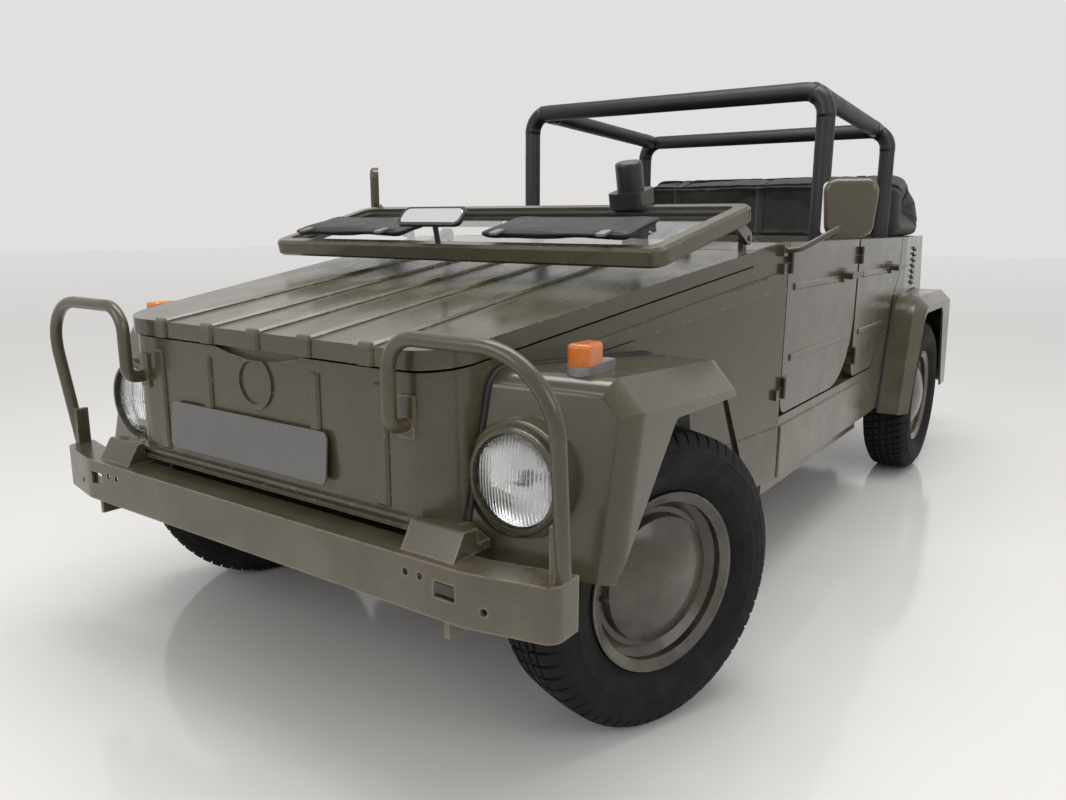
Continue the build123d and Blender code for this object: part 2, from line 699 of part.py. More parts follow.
MOTOR_Y = 340.0
MOTOR_RADIUS = 36.0
MOTOR_LONG = 76.0
GEAR_HALF = 48.0
GEAR_HIGH = 40.0
gear_face = RectangleRounded(2 * GEAR_HALF, 2 * GEAR_HALF, GEAR_HALF / 3)
motor = Pos(RAIL / 2, MOTOR_Y, rail_top) * extrude(gear_face, GEAR_HIGH)
can_top = rail_top + GEAR_HIGH + MOTOR_LONG
can = rod((RAIL / 2, MOTOR_Y, rail_top), (RAIL / 2, MOTOR_Y, can_top), MOTOR_RADIUS)
motor += fillet(can.edges().sort_by(Axis.Z)[-1], MOTOR_RADIUS / 4)
save("wiper_motor", on_screen * motor)

# Tail: bulkhead, deck, wheel house walls and the leaning tail panel
LEAN = ((DECK_END_X - TAIL_PANEL_X), (BELT_Z - TAIL_Z))
TAIL_SPAN = sqrt(LEAN[0] ** 2 + LEAN[1] ** 2)
tail_plane = Plane(
    origin=(DECK_END_X, 0, BELT_Z),
    x_dir=(0, 1, 0),
    z_dir=(-LEAN[1] / TAIL_SPAN, 0, LEAN[0] / TAIL_SPAN),
)
LID_HALF = TAIL_HALF - 170.0
LID_TOP = 90.0
LID_LOW = 470.0
LID_DEEP = 22.0
BULKHEAD_X = REAR_AXLE_X + 60.0
DECK_THICK = 18.0
AXLE_HOLE = 70.0


def tail_rect(half, top, low, near, far):
    face = outline([(half, top), (half, low), (-half, low), (-half, top)])
    return extrude(tail_plane * Pos(0, 0, near) * face, far - near)


tail_panel = tail_rect(BODY_HALF, 0, TAIL_SPAN, -WALL, 0)
tail_panel -= tail_rect(LID_HALF + SHUT_GAP, LID_TOP - SHUT_GAP, LID_LOW + SHUT_GAP, -WALL - 5, 5)
under_deck = prism_y(
    outline([
        (BULKHEAD_X, 0),
        (BULKHEAD_X, BELT_Z),
        (DECK_END_X, BELT_Z),
        (tail_line(TAIL_Z), TAIL_Z),
        (TAIL_PANEL_X, 0),
    ]),
    -BODY_HALF,
    BODY_HALF,
)
tail = block(BULKHEAD_X - 2 * PANEL, BULKHEAD_X, -HOUSE_REAR_Y, HOUSE_REAR_Y, TUNNEL_Z, BELT_Z)
tail += block(BULKHEAD_X - 2 * PANEL, BULKHEAD_X, -BODY_HALF, BODY_HALF, QUARTER_ARCH_Z, BELT_Z)
tail += block(DECK_END_X - 20, BULKHEAD_X, -BODY_HALF, BODY_HALF, BELT_Z - DECK_THICK, BELT_Z)
tail += tail_panel
for side in (1, -1):
    y0 = side * (HOUSE_REAR_Y - PANEL)
    y1 = side * HOUSE_REAR_Y
    tail += block(REAR_AXLE_X + 360, REAR_AXLE_X - 370, y0, y1, FLOOR_TOP_Z, QUARTER_ARCH_Z + PANEL)
    tail += block(REAR_AXLE_X + 200, REAR_AXLE_X - 250, y0, side * BODY_HALF, QUARTER_ARCH_Z,
                  QUARTER_ARCH_Z + PANEL)
    tail -= rod((REAR_AXLE_X, y0, HUB_Z), (REAR_AXLE_X, y1, HUB_Z), AXLE_HOLE)
step_z = TUNNEL_Z + PANEL
tail += block(BULKHEAD_X, FLOOR_REAR_X + PANEL, -HOUSE_REAR_Y, HOUSE_REAR_Y, TUNNEL_Z, step_z)
riser = block(FLOOR_REAR_X, FLOOR_REAR_X + PANEL, -HOUSE_REAR_Y, HOUSE_REAR_Y, FLOOR_TOP_Z, TUNNEL_Z)
tail += riser - block(TAIL_X, 0, -TUNNEL_HALF, TUNNEL_HALF, 0, TUNNEL_Z)
cabin_side = block(BULKHEAD_X, A_POST_X, -BODY_HALF, BODY_HALF, 0, BELT_Z)
tail = tail & inner_volume & (under_deck + cabin_side)
LID_EAR = 12.0
LID_HINGE_Y = LID_HALF - 180.0
LID_HINGE_LONG = 40.0
LID_AXIS_OUT = 14.0
LEAF_REACH = 50.0
lid_axis = LID_TOP - SHUT_GAP - LID_EAR


def on_tail(y, down, out):
    return tuple(tail_plane.from_local_coords(Vector(y, down, out)))


def tail_block(y0, y1, top, low, near, far):
    face = outline([(y0, top), (y1, top), (y1, low), (y0, low)])
    return extrude(tail_plane * Pos(0, 0, near) * face, far - near)


def tail_rod(y0, y1, radius):
    return rod(on_tail(y0, lid_axis, LID_AXIS_OUT), on_tail(y1, lid_axis, LID_AXIS_OUT), radius)


for y in (LID_HINGE_Y, -LID_HINGE_Y):
    near = y - LID_HINGE_LONG
    tail += tail_rod(near, y - 1, LID_EAR)
    tail += tail_block(near, y - 1, lid_axis - LID_EAR, lid_axis + LID_EAR, -5, LID_AXIS_OUT)
    tail += tail_rod(y - 2, y + LID_HINGE_LONG - 2, PIN_RADIUS)
save("tail_body", tail)

LID_RIBS = [(LID_HALF - 130.0) * share for share in (-1.0, -0.5, 0.0, 0.5, 1.0)]
LID_RIB_HALF = 19.0
LID_RIB_OUT = 7.0
LID_RIB_BEVEL = 5.0
LID_RIB_END = 42.0
LATCH_DOWN = LID_LOW - 26.0
LATCH_RADIUS = 17.0
LATCH_OUT = 22.0
LATCH_HALF = 48.0
engine_lid = tail_rect(LID_HALF, LID_TOP, LID_LOW, -LID_DEEP, 0)
for y in LID_RIBS:
    near, far = y - LID_RIB_HALF, y + LID_RIB_HALF
    rib = tail_block(near, far, LID_TOP + LID_RIB_END, LID_LOW - LID_RIB_END, 0, LID_RIB_OUT)
    crest = max(rib.faces(), key=lambda face: face.normal_at().dot(tail_plane.z_dir))
    engine_lid += chamfer(crest.edges(), LID_RIB_BEVEL)
for y in (LID_HINGE_Y, -LID_HINGE_Y):
    far = y + LID_HINGE_LONG
    leaf_end = LID_TOP + LEAF_REACH
    engine_lid += tail_rod(y + 1, far, LID_EAR)
    engine_lid += tail_block(y + 1, far, lid_axis, leaf_end, LID_AXIS_OUT + 4, LID_AXIS_OUT + LID_EAR)
    engine_lid += tail_block(y + 1, far, LID_TOP + 10, leaf_end, -2, LID_AXIS_OUT + 6)
    engine_lid -= tail_rod(y - 5, far + 5, PIN_RADIUS + RUNNING)
engine_lid += rod(on_tail(0, LATCH_DOWN, -2), on_tail(0, LATCH_DOWN, LATCH_OUT), LATCH_RADIUS)
grip_ends = [on_tail(side * LATCH_HALF, LATCH_DOWN, LATCH_OUT) for side in (-1, 1)]
engine_lid += rod(*grip_ends, LATCH_RADIUS / 2)
save("engine_lid", engine_lid)

# Fenders: pressed shells with bevelled shoulders over an open trapezoid arch
FENDER_Y = BODY_HALF + 131.0
REAR_FENDER_Y = BODY_HALF + 127.0
FENDER_SKIN = 8.0
FENDER_BEVEL = 56.0
REAR_FENDER_BEVEL = 40.0
FENDER_DEEP = 600.0
OPEN_DROP = 60.0
MITRE = 2 - sqrt(2)


def deeper(row, above):
    """An end row moved down along its edge, so that a shell is open below."""
    share = OPEN_DROP / (above[1] - row[1])
    return (row[0] + (row[0] - above[0]) * share, row[1] - OPEN_DROP)


def shouldered(face, outer_y, bevel, low, front_x):
    """Solid from a side outline, bevelled round its outer edge above low and behind front_x."""
    solid = prism_y(face, outer_y - FENDER_DEEP, outer_y)
    side = solid.faces().sort_by(Axis.Y)[-1]
    edges = [edge for edge in side.edges() if edge.center().Z > low and edge.center().X < front_x]
    return chamfer(edges, bevel)


def void_face(rows):
    """Side outline of a shell's inside, carried down past its lower edge."""
    open_rows = [deeper(rows[0], rows[1]), *rows[1:-1], deeper(rows[-1], rows[-2])]
    return offset(outline(open_rows), -FENDER_SKIN, kind=Kind.INTERSECTION)


# Front fender: its front face leans back and sweeps back outwards, with a round lamp bowl in it
FACE_X = NOSE_X - 63.0
FACE_Y = NOSE_HALF - 7.0
FACE_Z = 545.0
FACE_LEAN = 0.214
FACE_SWEEP = 0.18
FACE_ROUND = 40.0
FENDER_LOW_Z = 450.0
FENDER_TOP_Z = 792.0
FENDER_TAIL_Y = BODY_HALF + 71.0
front_fender_rows = [
    (NOSE_X - 20.0, FENDER_LOW_Z),
    (NOSE_X - 20.0, FENDER_TOP_Z + 8.0),
    (FRONT_AXLE_X - 165.0, FENDER_TOP_Z - 24.0, 70.0),
    (FRONT_AXLE_X - 372.0, 398.0),
]
front_arch_rows = [
    (FRONT_AXLE_X + 357.0, FENDER_LOW_Z + 2.0),
    (FRONT_AXLE_X + 150.0, 702.0, 25.0),
    (FRONT_AXLE_X - 198.0, 695.0, 40.0),
    (FRONT_AXLE_X - 343.0, 398.0),
    (FRONT_AXLE_X - 343.0, 300.0),
    (FRONT_AXLE_X + 357.0, 300.0),
]
LAMP_X = NOSE_X - 76.0
LAMP_Y = BODY_HALF - 66.0
LAMP_Z = 606.0
LAMP_RADIUS = 88.0
BEZEL_RADIUS = 99.0
BEZEL_BACK = 4.0
BEZEL_FRONT = 10.0
BOWL_RADIUS = BEZEL_RADIUS + 12.0
BOWL_DEEP = 60.0
BOWL_ROUND = 5.0


def lamp_rod(near, far, radius):
    """Cylinder on the headlamp's axis, measured forward from the lens edge."""
    return rod((LAMP_X + near, LAMP_Y, LAMP_Z), (LAMP_X + far, LAMP_Y, LAMP_Z), radius)


def faced(solid, inset, rounding):
    """Front fender solid cut to its front face, with the face's outer and upper edges rounded."""
    normal = Vector(1, FACE_SWEEP, FACE_LEAN).normalized()
    plane = Plane(origin=Vector(FACE_X, FACE_Y, FACE_Z) - normal * inset, z_dir=normal)
    solid = split(solid, bisect_by=plane, keep=Keep.BOTTOM)
    face = max(solid.faces(), key=lambda side: side.normal_at().dot(normal))
    edges = []
    for edge in face.edges():
        place = edge.center()
        inner_y = FENDER_Y - FENDER_DEEP
        if place.Y > inner_y + 1 and place.Z > FENDER_LOW_Z + OPEN_DROP / 2:
            edges.append(edge)
    return fillet(edges, rounding)


low = FENDER_LOW_Z + OPEN_DROP
tip_x = NOSE_X - 60.0
front_fender_full = faced(
    shouldered(outline(front_fender_rows), FENDER_Y, FENDER_BEVEL, low, tip_x), 0, FACE_ROUND)
inner_bevel = FENDER_BEVEL - MITRE * FENDER_SKIN
front_fender_void = faced(
    shouldered(void_face(front_fender_rows), FENDER_Y - FENDER_SKIN, inner_bevel, low, tip_x),
    FENDER_SKIN, FACE_ROUND - FENDER_SKIN)
bowl = lamp_rod(-BOWL_DEEP, -BEZEL_BACK, BOWL_RADIUS)
bowl = fillet(bowl.edges().sort_by(Axis.X)[-1], BOWL_ROUND)
front_fender = front_fender_full - front_fender_void
front_fender -= lamp_rod(-BEZEL_BACK, BOWL_DEEP, BOWL_RADIUS - BOWL_ROUND)
front_fender += bowl
front_fender -= lamp_rod(-BOWL_DEEP, -BEZEL_BACK - FENDER_SKIN, BOWL_RADIUS - FENDER_SKIN)
front_fender -= lamp_rod(-BOWL_DEEP, BOWL_DEEP, LAMP_RADIUS)
front_fender -= prism_y(outline(front_arch_rows), 0, FENDER_Y + 1)
front_fender -= outer_volume
front_fender -= block(HOUSE_REAR_X, FRONT_AXLE_X - 200, 0, FENDER_TAIL_Y, 0, ARCH_Z - 15)
save("fender_front_left", front_fender)
save("fender_front_right", flip(front_fender))

rear_fender_rows = [
    (REAR_AXLE_X + 372.0, 300.0),
    (REAR_AXLE_X + 235.0, 765.0, 120.0),
    (REAR_AXLE_X - 380.0, 765.0, 70.0),
    (REAR_AXLE_X - 440.0, 330.0),
]
rear_arch_rows = [
    (REAR_AXLE_X + 342.0, 290.0),
    (REAR_AXLE_X + 210.0, 700.0, 70.0),
    (REAR_AXLE_X - 180.0, 700.0, 70.0),
    (REAR_AXLE_X - 320.0, 290.0),
]
rear_low = 300.0 + OPEN_DROP
rear_fender_full = shouldered(
    outline(rear_fender_rows), REAR_FENDER_Y, REAR_FENDER_BEVEL, rear_low, BUMPER_X)
rear_fender = rear_fender_full - shouldered(
    void_face(rear_fender_rows), REAR_FENDER_Y - FENDER_SKIN, REAR_FENDER_BEVEL - MITRE * FENDER_SKIN,
    rear_low, BUMPER_X)
rear_fender -= prism_y(outline(rear_arch_rows), 0, FENDER_Y + 1)
rear_fender -= outer_volume
save("fender_rear_left", rear_fender)
save("fender_rear_right", flip(rear_fender))

# Lamps
BEZEL_ROUND = 6.0
bezel = lamp_rod(-BEZEL_BACK, BEZEL_FRONT, BEZEL_RADIUS)
bezel = fillet(bezel.edges().sort_by(Axis.X)[-1], BEZEL_ROUND)
bezel -= lamp_rod(-BOWL_DEEP, BOWL_DEEP, LAMP_RADIUS)
bezel -= outer_volume
save("headlamp_rims", bezel, flip(bezel))
lens_radius = LAMP_RADIUS - FIT
LENS_DEEP = 30.0
LENS_DOME = 14.0
dome_radius = (lens_radius ** 2 + LENS_DOME ** 2) / (2 * LENS_DOME)
dome_middle = LENS_DOME - dome_radius + sqrt(dome_radius ** 2 - (lens_radius / 2) ** 2)
lens_face = make_face([
    Polyline((LENS_DOME, 0), (-LENS_DEEP, 0), (-LENS_DEEP, lens_radius), (0, lens_radius)),
    ThreePointArc((0, lens_radius), (dome_middle, lens_radius / 2), (LENS_DOME, 0)),
])
lens = Pos(LAMP_X, LAMP_Y, LAMP_Z) * revolve(lens_face, Axis.X)
save("headlamp_lenses", lens, flip(lens))

INDICATOR_X = FRONT_AXLE_X + 262.0
INDICATOR_Y = BODY_HALF - 1.0
INDICATOR_HALF = 27.0
INDICATOR_BASE_Z = 806.0
INDICATOR_TOP_Z = 846.0
INDICATOR_FRONT = 42.0
INDICATOR_BACK = 34.0
BASE_TAIL = 92.0
BASE_TIP = 12.0
base_face = outline([
    (INDICATOR_X + INDICATOR_FRONT, INDICATOR_Y - INDICATOR_HALF, 20.0),
    (INDICATOR_X + INDICATOR_FRONT, INDICATOR_Y + INDICATOR_HALF, 20.0),
    (INDICATOR_X - BASE_TAIL, INDICATOR_Y + BASE_TIP, 11.0),
    (INDICATOR_X - BASE_TAIL, INDICATOR_Y - BASE_TIP, 11.0),
])
lens_plan = outline([
    (INDICATOR_X + INDICATOR_FRONT - 2, INDICATOR_Y - INDICATOR_HALF + 2, 18.0),
    (INDICATOR_X + INDICATOR_FRONT - 2, INDICATOR_Y + INDICATOR_HALF - 2, 18.0),
    (INDICATOR_X - INDICATOR_BACK, INDICATOR_Y + BASE_TIP + 6, 10.0),
    (INDICATOR_X - INDICATOR_BACK, INDICATOR_Y - BASE_TIP - 6, 10.0),
])
indicator_base = prism_z(base_face, FENDER_TOP_Z - 30, INDICATOR_BASE_Z) - front_fender_full
indicator = prism_z(lens_plan, INDICATOR_BASE_Z, INDICATOR_TOP_Z)
indicator = fillet(indicator.faces().sort_by(Axis.Z)[-1].edges(), 9.0)
save("indicator_bases", indicator_base, flip(indicator_base))
save("indicators", indicator, flip(indicator))

TAIL_LAMP_Y = BODY_HALF + 59.0
TAIL_LAMP_Z = 548.0
TAIL_LAMP_BACK = 470.0
TAIL_LAMP_HALF = 38.0
TAIL_LAMP_TALL = 60.0
lamp_face = RectangleRounded(2 * TAIL_LAMP_HALF, 2 * TAIL_LAMP_TALL, TAIL_LAMP_HALF / 2)
lamp_back = (REAR_AXLE_X - TAIL_LAMP_BACK, TAIL_LAMP_Y, TAIL_LAMP_Z)
lamp_plane = Plane(origin=lamp_back, x_dir=(0, 1, 0), z_dir=(1, 0, 0))
tail_lamp = extrude(lamp_plane * lamp_face, TAIL_LAMP_BACK - 380.0)
tail_lamp = fillet(tail_lamp.faces().sort_by(Axis.X)[0].edges(), 12.0) - rear_fender_full
save("tail_lamps", tail_lamp, flip(tail_lamp))

# Bumpers: pressed channels with swept ends
BUMPER_LOW = 382.0
BUMPER_HIGH = 483.0
BUMPER_FLAT = BODY_HALF - 69.0
BUMPER_END = BODY_HALF + 97.0
BUMPER_SWEEP = 36.0
BUMPER_DEEP = 70.0
BUMPER_SKIN = 6.0


def bumper(face_x, ahead, end_y):
    """Channel with its face at face_x, pointing along ahead (1 or -1)."""
    def band(front, deep, half, tip):
        rows = [
            (face_x - ahead * front, -half, 120.0),
            (face_x - ahead * front, half, 120.0),
            (face_x - ahead * (front + BUMPER_SWEEP), tip, 30.0),
            (face_x - ahead * (BUMPER_SWEEP + deep), tip),
            (face_x - ahead * deep, half),
            (face_x - ahead * deep, -half),
            (face_x - ahead * (BUMPER_SWEEP + deep), -tip),
            (face_x - ahead * (front + BUMPER_SWEEP), -tip, 30.0),
        ]
        return outline(rows)

    channel = prism_z(band(0, BUMPER_DEEP, BUMPER_FLAT, end_y), BUMPER_LOW, BUMPER_HIGH)
    void = band(BUMPER_SKIN, BUMPER_DEEP + 10, BUMPER_FLAT, end_y - BUMPER_SKIN)
    return channel - prism_z(void, BUMPER_LOW + BUMPER_SKIN, BUMPER_HIGH - BUMPER_SKIN)


ARM_Y = 300.0
ARM_HALF = 22.0
ARM_HIGH = 30.0
SLOT_Y = BUMPER_FLAT - 40.0
SLOT_HALF = 24.0
SLOT_Z = 438.0
SLOT_TALL = 15.0
HOLE_RADIUS = 7.0
HOLE_PLACES = ((BUMPER_FLAT - 130.0, 452.0), (BUMPER_FLAT - 95.0, 452.0), (BUMPER_FLAT + 40.0, 418.0))
REST_Y = NOSE_HALF + 7.0
REST_HALF = 62.0
REST_Z = 532.0
REST_FRONT_X = NOSE_X + 22.0
REST_BACK_X = NOSE_X - 50.0
LUG_HALF = 5.0
LUG_DROP = 34.0


def bumper_rest():
    """Wedge block on the bumper's top flange beside the nose."""
    rows = [
        (REST_BACK_X, BUMPER_HIGH),
        (REST_FRONT_X + 30, BUMPER_HIGH),
        (REST_FRONT_X, REST_Z, 8.0),
        (REST_BACK_X, REST_Z - 10, 8.0),
    ]
    shape = prism_y(outline(rows), REST_Y - REST_HALF, REST_Y + REST_HALF)
    nose_clear = prism_z(plan_face(-LIP_OUT - 2), NOSE_Z - 2, BELT_Z)
    return shape - nose_clear - front_fender_full - lamp_rod(-BOWL_DEEP, BOWL_DEEP, BOWL_RADIUS + 2)


front_bumper = bumper(BUMPER_X, 1, BUMPER_END)
rear_bumper = bumper(TAIL_X, -1, BUMPER_END - 34)
for side in (1, -1):
    y = side * ARM_Y
    tie_x = BUMPER_X - BUMPER_SKIN / 2
    front_bumper += block(NOSE_SPLIT_X - 60, tie_x, y - ARM_HALF, y + ARM_HALF, TUB_Z - ARM_HIGH, TUB_Z)
    rear_bumper += block(-tie_x, TAIL_PANEL_X + 30, y - ARM_HALF, y + ARM_HALF, TAIL_Z - ARM_HIGH, TAIL_Z)
    slot_y = side * SLOT_Y
    front_bumper -= block(BUMPER_X - ARM_HALF, BUMPER_X, slot_y - SLOT_HALF, slot_y + SLOT_HALF,
                          SLOT_Z - SLOT_TALL, SLOT_Z + SLOT_TALL)
    lug_sides = (slot_y - LUG_HALF, slot_y + LUG_HALF)
    front_bumper += block(BUMPER_X - BUMPER_DEEP, BUMPER_X - BUMPER_SKIN, *lug_sides,
                          BUMPER_LOW - LUG_DROP, BUMPER_LOW + BUMPER_SKIN)
    for hole_y, z in HOLE_PLACES:
        at = (BUMPER_X - BUMPER_SWEEP, side * hole_y, z)
        front_bumper -= rod(at, (BUMPER_X + 1, side * hole_y, z), HOLE_RADIUS)
front_bumper += bumper_rest() + flip(bumper_rest())
save("front_bumper", front_bumper)
save("rear_bumper", rear_bumper)

# Tube guards over the bumper ends, clear of the bonnet's front edge as it swings up
GUARD_X = NOSE_X + 46.0
GUARD_RADIUS = 14.0
GUARD_IN_Y = NOSE_HALF - 79.0
GUARD_OUT_Y = BODY_HALF + 119.0
GUARD_TOP = 864.0
GUARD_FOOT_Z = 700.0
FOOT_HALF = 18.0
FOOT_THICK = 6.0
FOOT_TALL = 80.0
TAB_HALF = 16.0
TAB_TALL = 95.0
foot_x = BUMPER_X - BUMPER_SWEEP - BUMPER_DEEP / 2
guard = tube(
    [
        (NOSE_X - 10, GUARD_IN_Y, GUARD_FOOT_Z),
        (GUARD_X, GUARD_IN_Y, GUARD_FOOT_Z),
        (GUARD_X, GUARD_IN_Y, GUARD_TOP),
        (GUARD_X, GUARD_OUT_Y - 20, GUARD_TOP),
        (foot_x, GUARD_OUT_Y - 30, BUMPER_HIGH),
    ],
    [24.0, 60.0, 140.0],
    GUARD_RADIUS,
)
foot_z = GUARD_FOOT_Z - FOOT_TALL / 3
foot_plate = prism_z(plan_face(-FOOT_THICK), foot_z, foot_z + FOOT_TALL)
foot_sides = (GUARD_IN_Y - FOOT_HALF, GUARD_IN_Y + FOOT_HALF)
guard += foot_plate & block(NOSE_SPLIT_X, BUMPER_X, *foot_sides, 0, BELT_Z)
tab_y = GUARD_OUT_Y - 30 - GUARD_RADIUS
tab_top = BUMPER_HIGH + TAB_TALL
guard += block(foot_x - TAB_HALF, foot_x + TAB_HALF, tab_y - 4, tab_y + 8, BUMPER_HIGH, tab_top)
guard -= prism_z(plan_face(0), BUMPER_LOW, BELT_Z)
guard -= block(0, BUMPER_X, 0, BODY_HALF * 2, 0, BUMPER_HIGH)
save("bumper_guards", guard, flip(guard))

PLATE_Y = -45.0
PLATE_LONG = 520.0
PLATE_TALL = 105.0
PLATE_Z = 602.0
PLATE_THICK = 4.0
PLATE_CORNER = 16.0
PLATE_LEAN = 5.0
PLATE_TAB_Y = 90.0
plate = extrude(RectangleRounded(PLATE_LONG, PLATE_TALL, PLATE_CORNER), PLATE_THICK)
plate_x = NOSE_X + RIB_OUT + PLATE_TALL / 2 * sin(radians(PLATE_LEAN)) + PLATE_THICK
plate_plane = Plane(
    origin=(plate_x - PLATE_THICK, PLATE_Y, PLATE_Z),
    x_dir=(0, 1, 0),
    z_dir=(cos(radians(PLATE_LEAN)), 0, sin(radians(PLATE_LEAN))),
)
plate = plate_plane * plate
for y in (PLATE_Y - PLATE_TAB_Y, PLATE_Y + PLATE_TAB_Y):
    plate += block(NOSE_X, plate_x, y - TAB_HALF, y + TAB_HALF, PLATE_Z - 4, PLATE_Z + 4)
save("number_plate", plate)

# Roll cage of padded tube
CAGE_RADIUS = 29.0
CAGE_CORNER = 75.0
FRONT_HOOP_X = B_POST_X + 223.0
REAR_HOOP_X = C_POST_X - 56.0
FRONT_HOOP_Y = BODY_HALF - 85.0
REAR_HOOP_Y = BODY_HALF - 103.0
FRONT_HOOP_Z = BELT_Z + 478.0
REAR_HOOP_Z = BELT_Z + 436.0
FLANGE_WIDE = 40.0
FLANGE_HIGH = 6.0
RAIL_IN = 45.0


def hoop(x, y, top, foot):
    spots = [(x, y, foot), (x, y, top), (x, -y, top), (x, -y, foot)]
    bar = tube(spots, (CAGE_CORNER, CAGE_CORNER), CAGE_RADIUS)
    for side in (y, -y):
        bar += rod((x, side, foot), (x, side, foot + FLANGE_HIGH), FLANGE_WIDE)
    return bar


front_hoop = hoop(FRONT_HOOP_X, FRONT_HOOP_Y, FRONT_HOOP_Z, sill_top)
rear_hoop = hoop(REAR_HOOP_X, REAR_HOOP_Y, REAR_HOOP_Z, QUARTER_ARCH_Z + PANEL)
rails = []
for side in (1, -1):
    start = (FRONT_HOOP_X, side * (FRONT_HOOP_Y - RAIL_IN), FRONT_HOOP_Z)
    end = (REAR_HOOP_X, side * (REAR_HOOP_Y - RAIL_IN), REAR_HOOP_Z)
    rails.append(rod(start, end, CAGE_RADIUS) - front_hoop - rear_hoop)
save("cage_front_hoop", front_hoop)
save("cage_rear_hoop", rear_hoop)
save("cage_rails", *[max(rail.solids(), key=lambda s: s.volume) for rail in rails])

# Folded canvas top on the rear deck
TOP_HALF = BODY_HALF - 59.0
bundle = prism_y(
    outline([
        (REAR_AXLE_X + 30, BELT_Z),
        (REAR_AXLE_X + 55, BELT_Z + 225, 60.0),
        (REAR_AXLE_X - 80, BELT_Z + 270, 60.0),
        (REAR_AXLE_X - 350, BELT_Z + 170, 80.0),
        (DECK_END_X + 30, BELT_Z + 60, 40.0),
        (DECK_END_X + 30, BELT_Z),
    ]),
    -TOP_HALF,
    TOP_HALF,
)
save("folded_top", bundle)

# Seats
SEAT_IN = 125.0
SEAT_OUT = BODY_HALF - 134.0
SEAT_BACK_X = B_POST_X + 17.0
SEAT_FRONT_X = SEAT_BACK_X + 520.0
SEAT_Z = 560.0
CUSHION_ROUND = 22.0
BACK_LEAN = 90.0
BACK_THICK = 90.0


def seat(y0, y1, front_x, back_x, foot_z):
    """Cushion and leaning backrest on a closed base, with rounded sides."""
    hip_x = back_x + BACK_LEAN + BACK_THICK / 2
    rows = [
        (front_x - 30, foot_z),
        (front_x, SEAT_Z - 60, 20.0),
        (front_x, SEAT_Z, 40.0),
        (hip_x, SEAT_Z - 40, 20.0),
        (back_x + BACK_THICK - 30, BELT_Z - 20, 40.0),
        (back_x - 30, BELT_Z - 20, 30.0),
        (back_x, foot_z),
    ]
    shape = prism_y(outline(rows), y0, y1)
    sides = []
    for edge in shape.edges():
        place = edge.center()
        if abs(place.Y - (y0 + y1) / 2) > (y1 - y0) / 2 - 0.1 and place.Z > SEAT_Z - 70:
            sides.append(edge)
    return fillet(sides, CUSHION_ROUND)


front_seat = seat(SEAT_IN, SEAT_OUT, SEAT_FRONT_X, SEAT_BACK_X, FLOOR_TOP_Z)
save("front_seats", front_seat, flip(front_seat))
BENCH_DEEP = 450.0
BENCH_BACK_X = BULKHEAD_X + 30.0
BENCH_HALF = REAR_HOOP_Y - FLANGE_WIDE - SHUT_GAP
bench = seat(-BENCH_HALF, BENCH_HALF, BENCH_BACK_X + BENCH_DEEP, BENCH_BACK_X, FLOOR_TOP_Z)
bench -= block(FLOOR_REAR_X, A_POST_X, -TUNNEL_HALF, TUNNEL_HALF, 0, TUNNEL_Z)
bench -= block(TAIL_X, FLOOR_REAR_X + PANEL, -BODY_HALF, BODY_HALF, 0, step_z)
bench = bench & block(BULKHEAD_X, A_POST_X, -BODY_HALF, BODY_HALF, FLOOR_TOP_Z, BELT_Z)
save("rear_bench", bench)

# Platform, running gear
floor = block(FLOOR_REAR_X, HOUSE_REAR_X, -FLOOR_HALF, FLOOR_HALF, FLOOR_Z, FLOOR_TOP_Z)
floor += block(FLOOR_REAR_X, HOUSE_REAR_X, -TUNNEL_HALF, TUNNEL_HALF, FLOOR_Z, TUNNEL_Z)
FLOOR_RIBS = (-0.8, -0.55, -0.3, 0.3, 0.55, 0.8)
FLOOR_RIB_HALF = 22.0
FLOOR_RIB_DEEP = 9.0
FLOOR_RIB_BEVEL = 6.0
for share in FLOOR_RIBS:
    y = FLOOR_HALF * share
    rib = block(FLOOR_REAR_X + 60, HOUSE_REAR_X - 60, y - FLOOR_RIB_HALF, y + FLOOR_RIB_HALF,
                FLOOR_Z - FLOOR_RIB_DEEP, FLOOR_Z)
    floor += chamfer(rib.faces().sort_by(Axis.Z)[0].edges(), FLOOR_RIB_BEVEL)
AXLE_PLATE_X = FRONT_AXLE_X + 80.0
floor += block(HOUSE_REAR_X - 20, AXLE_PLATE_X, -TUNNEL_HALF, TUNNEL_HALF, HEAD_Z, TUNNEL_Z)
save("floor_pan", floor)

BEAM_X = FRONT_AXLE_X + 120.0
BEAM_HALF = KINGPIN_Y - 157.0
BEAM_RADIUS = 32.0
ARM_LOW_Z = 236.0
ARM_HIGH_Z = 408.0
TRAIL_RADIUS = 14.0
PIN_BOSS = 22.0
HEAD_HALF_X = 40.0
TOWER_HALF = 18.0
TOWER_IN = 20.0
TOWER_OUT = 10.0
axle_head = block(AXLE_PLATE_X, BEAM_X + HEAD_HALF_X, -TUNNEL_HALF, TUNNEL_HALF,
                  ARM_LOW_Z - BEAM_RADIUS, ARM_HIGH_Z + PIN_BOSS)
axle = axle_head
for z in (ARM_LOW_Z, ARM_HIGH_Z):
    axle += rod((BEAM_X, -BEAM_HALF, z), (BEAM_X, BEAM_HALF, z), BEAM_RADIUS)
    for side in (1, -1):
        pin = (FRONT_AXLE_X, side * KINGPIN_Y, z)
        axle += rod((BEAM_X, side * (BEAM_HALF - 20), z), pin, TRAIL_RADIUS)
        axle += rod((*pin[:2], z - TRAIL_RADIUS), (*pin[:2], z + TRAIL_RADIUS), PIN_BOSS)
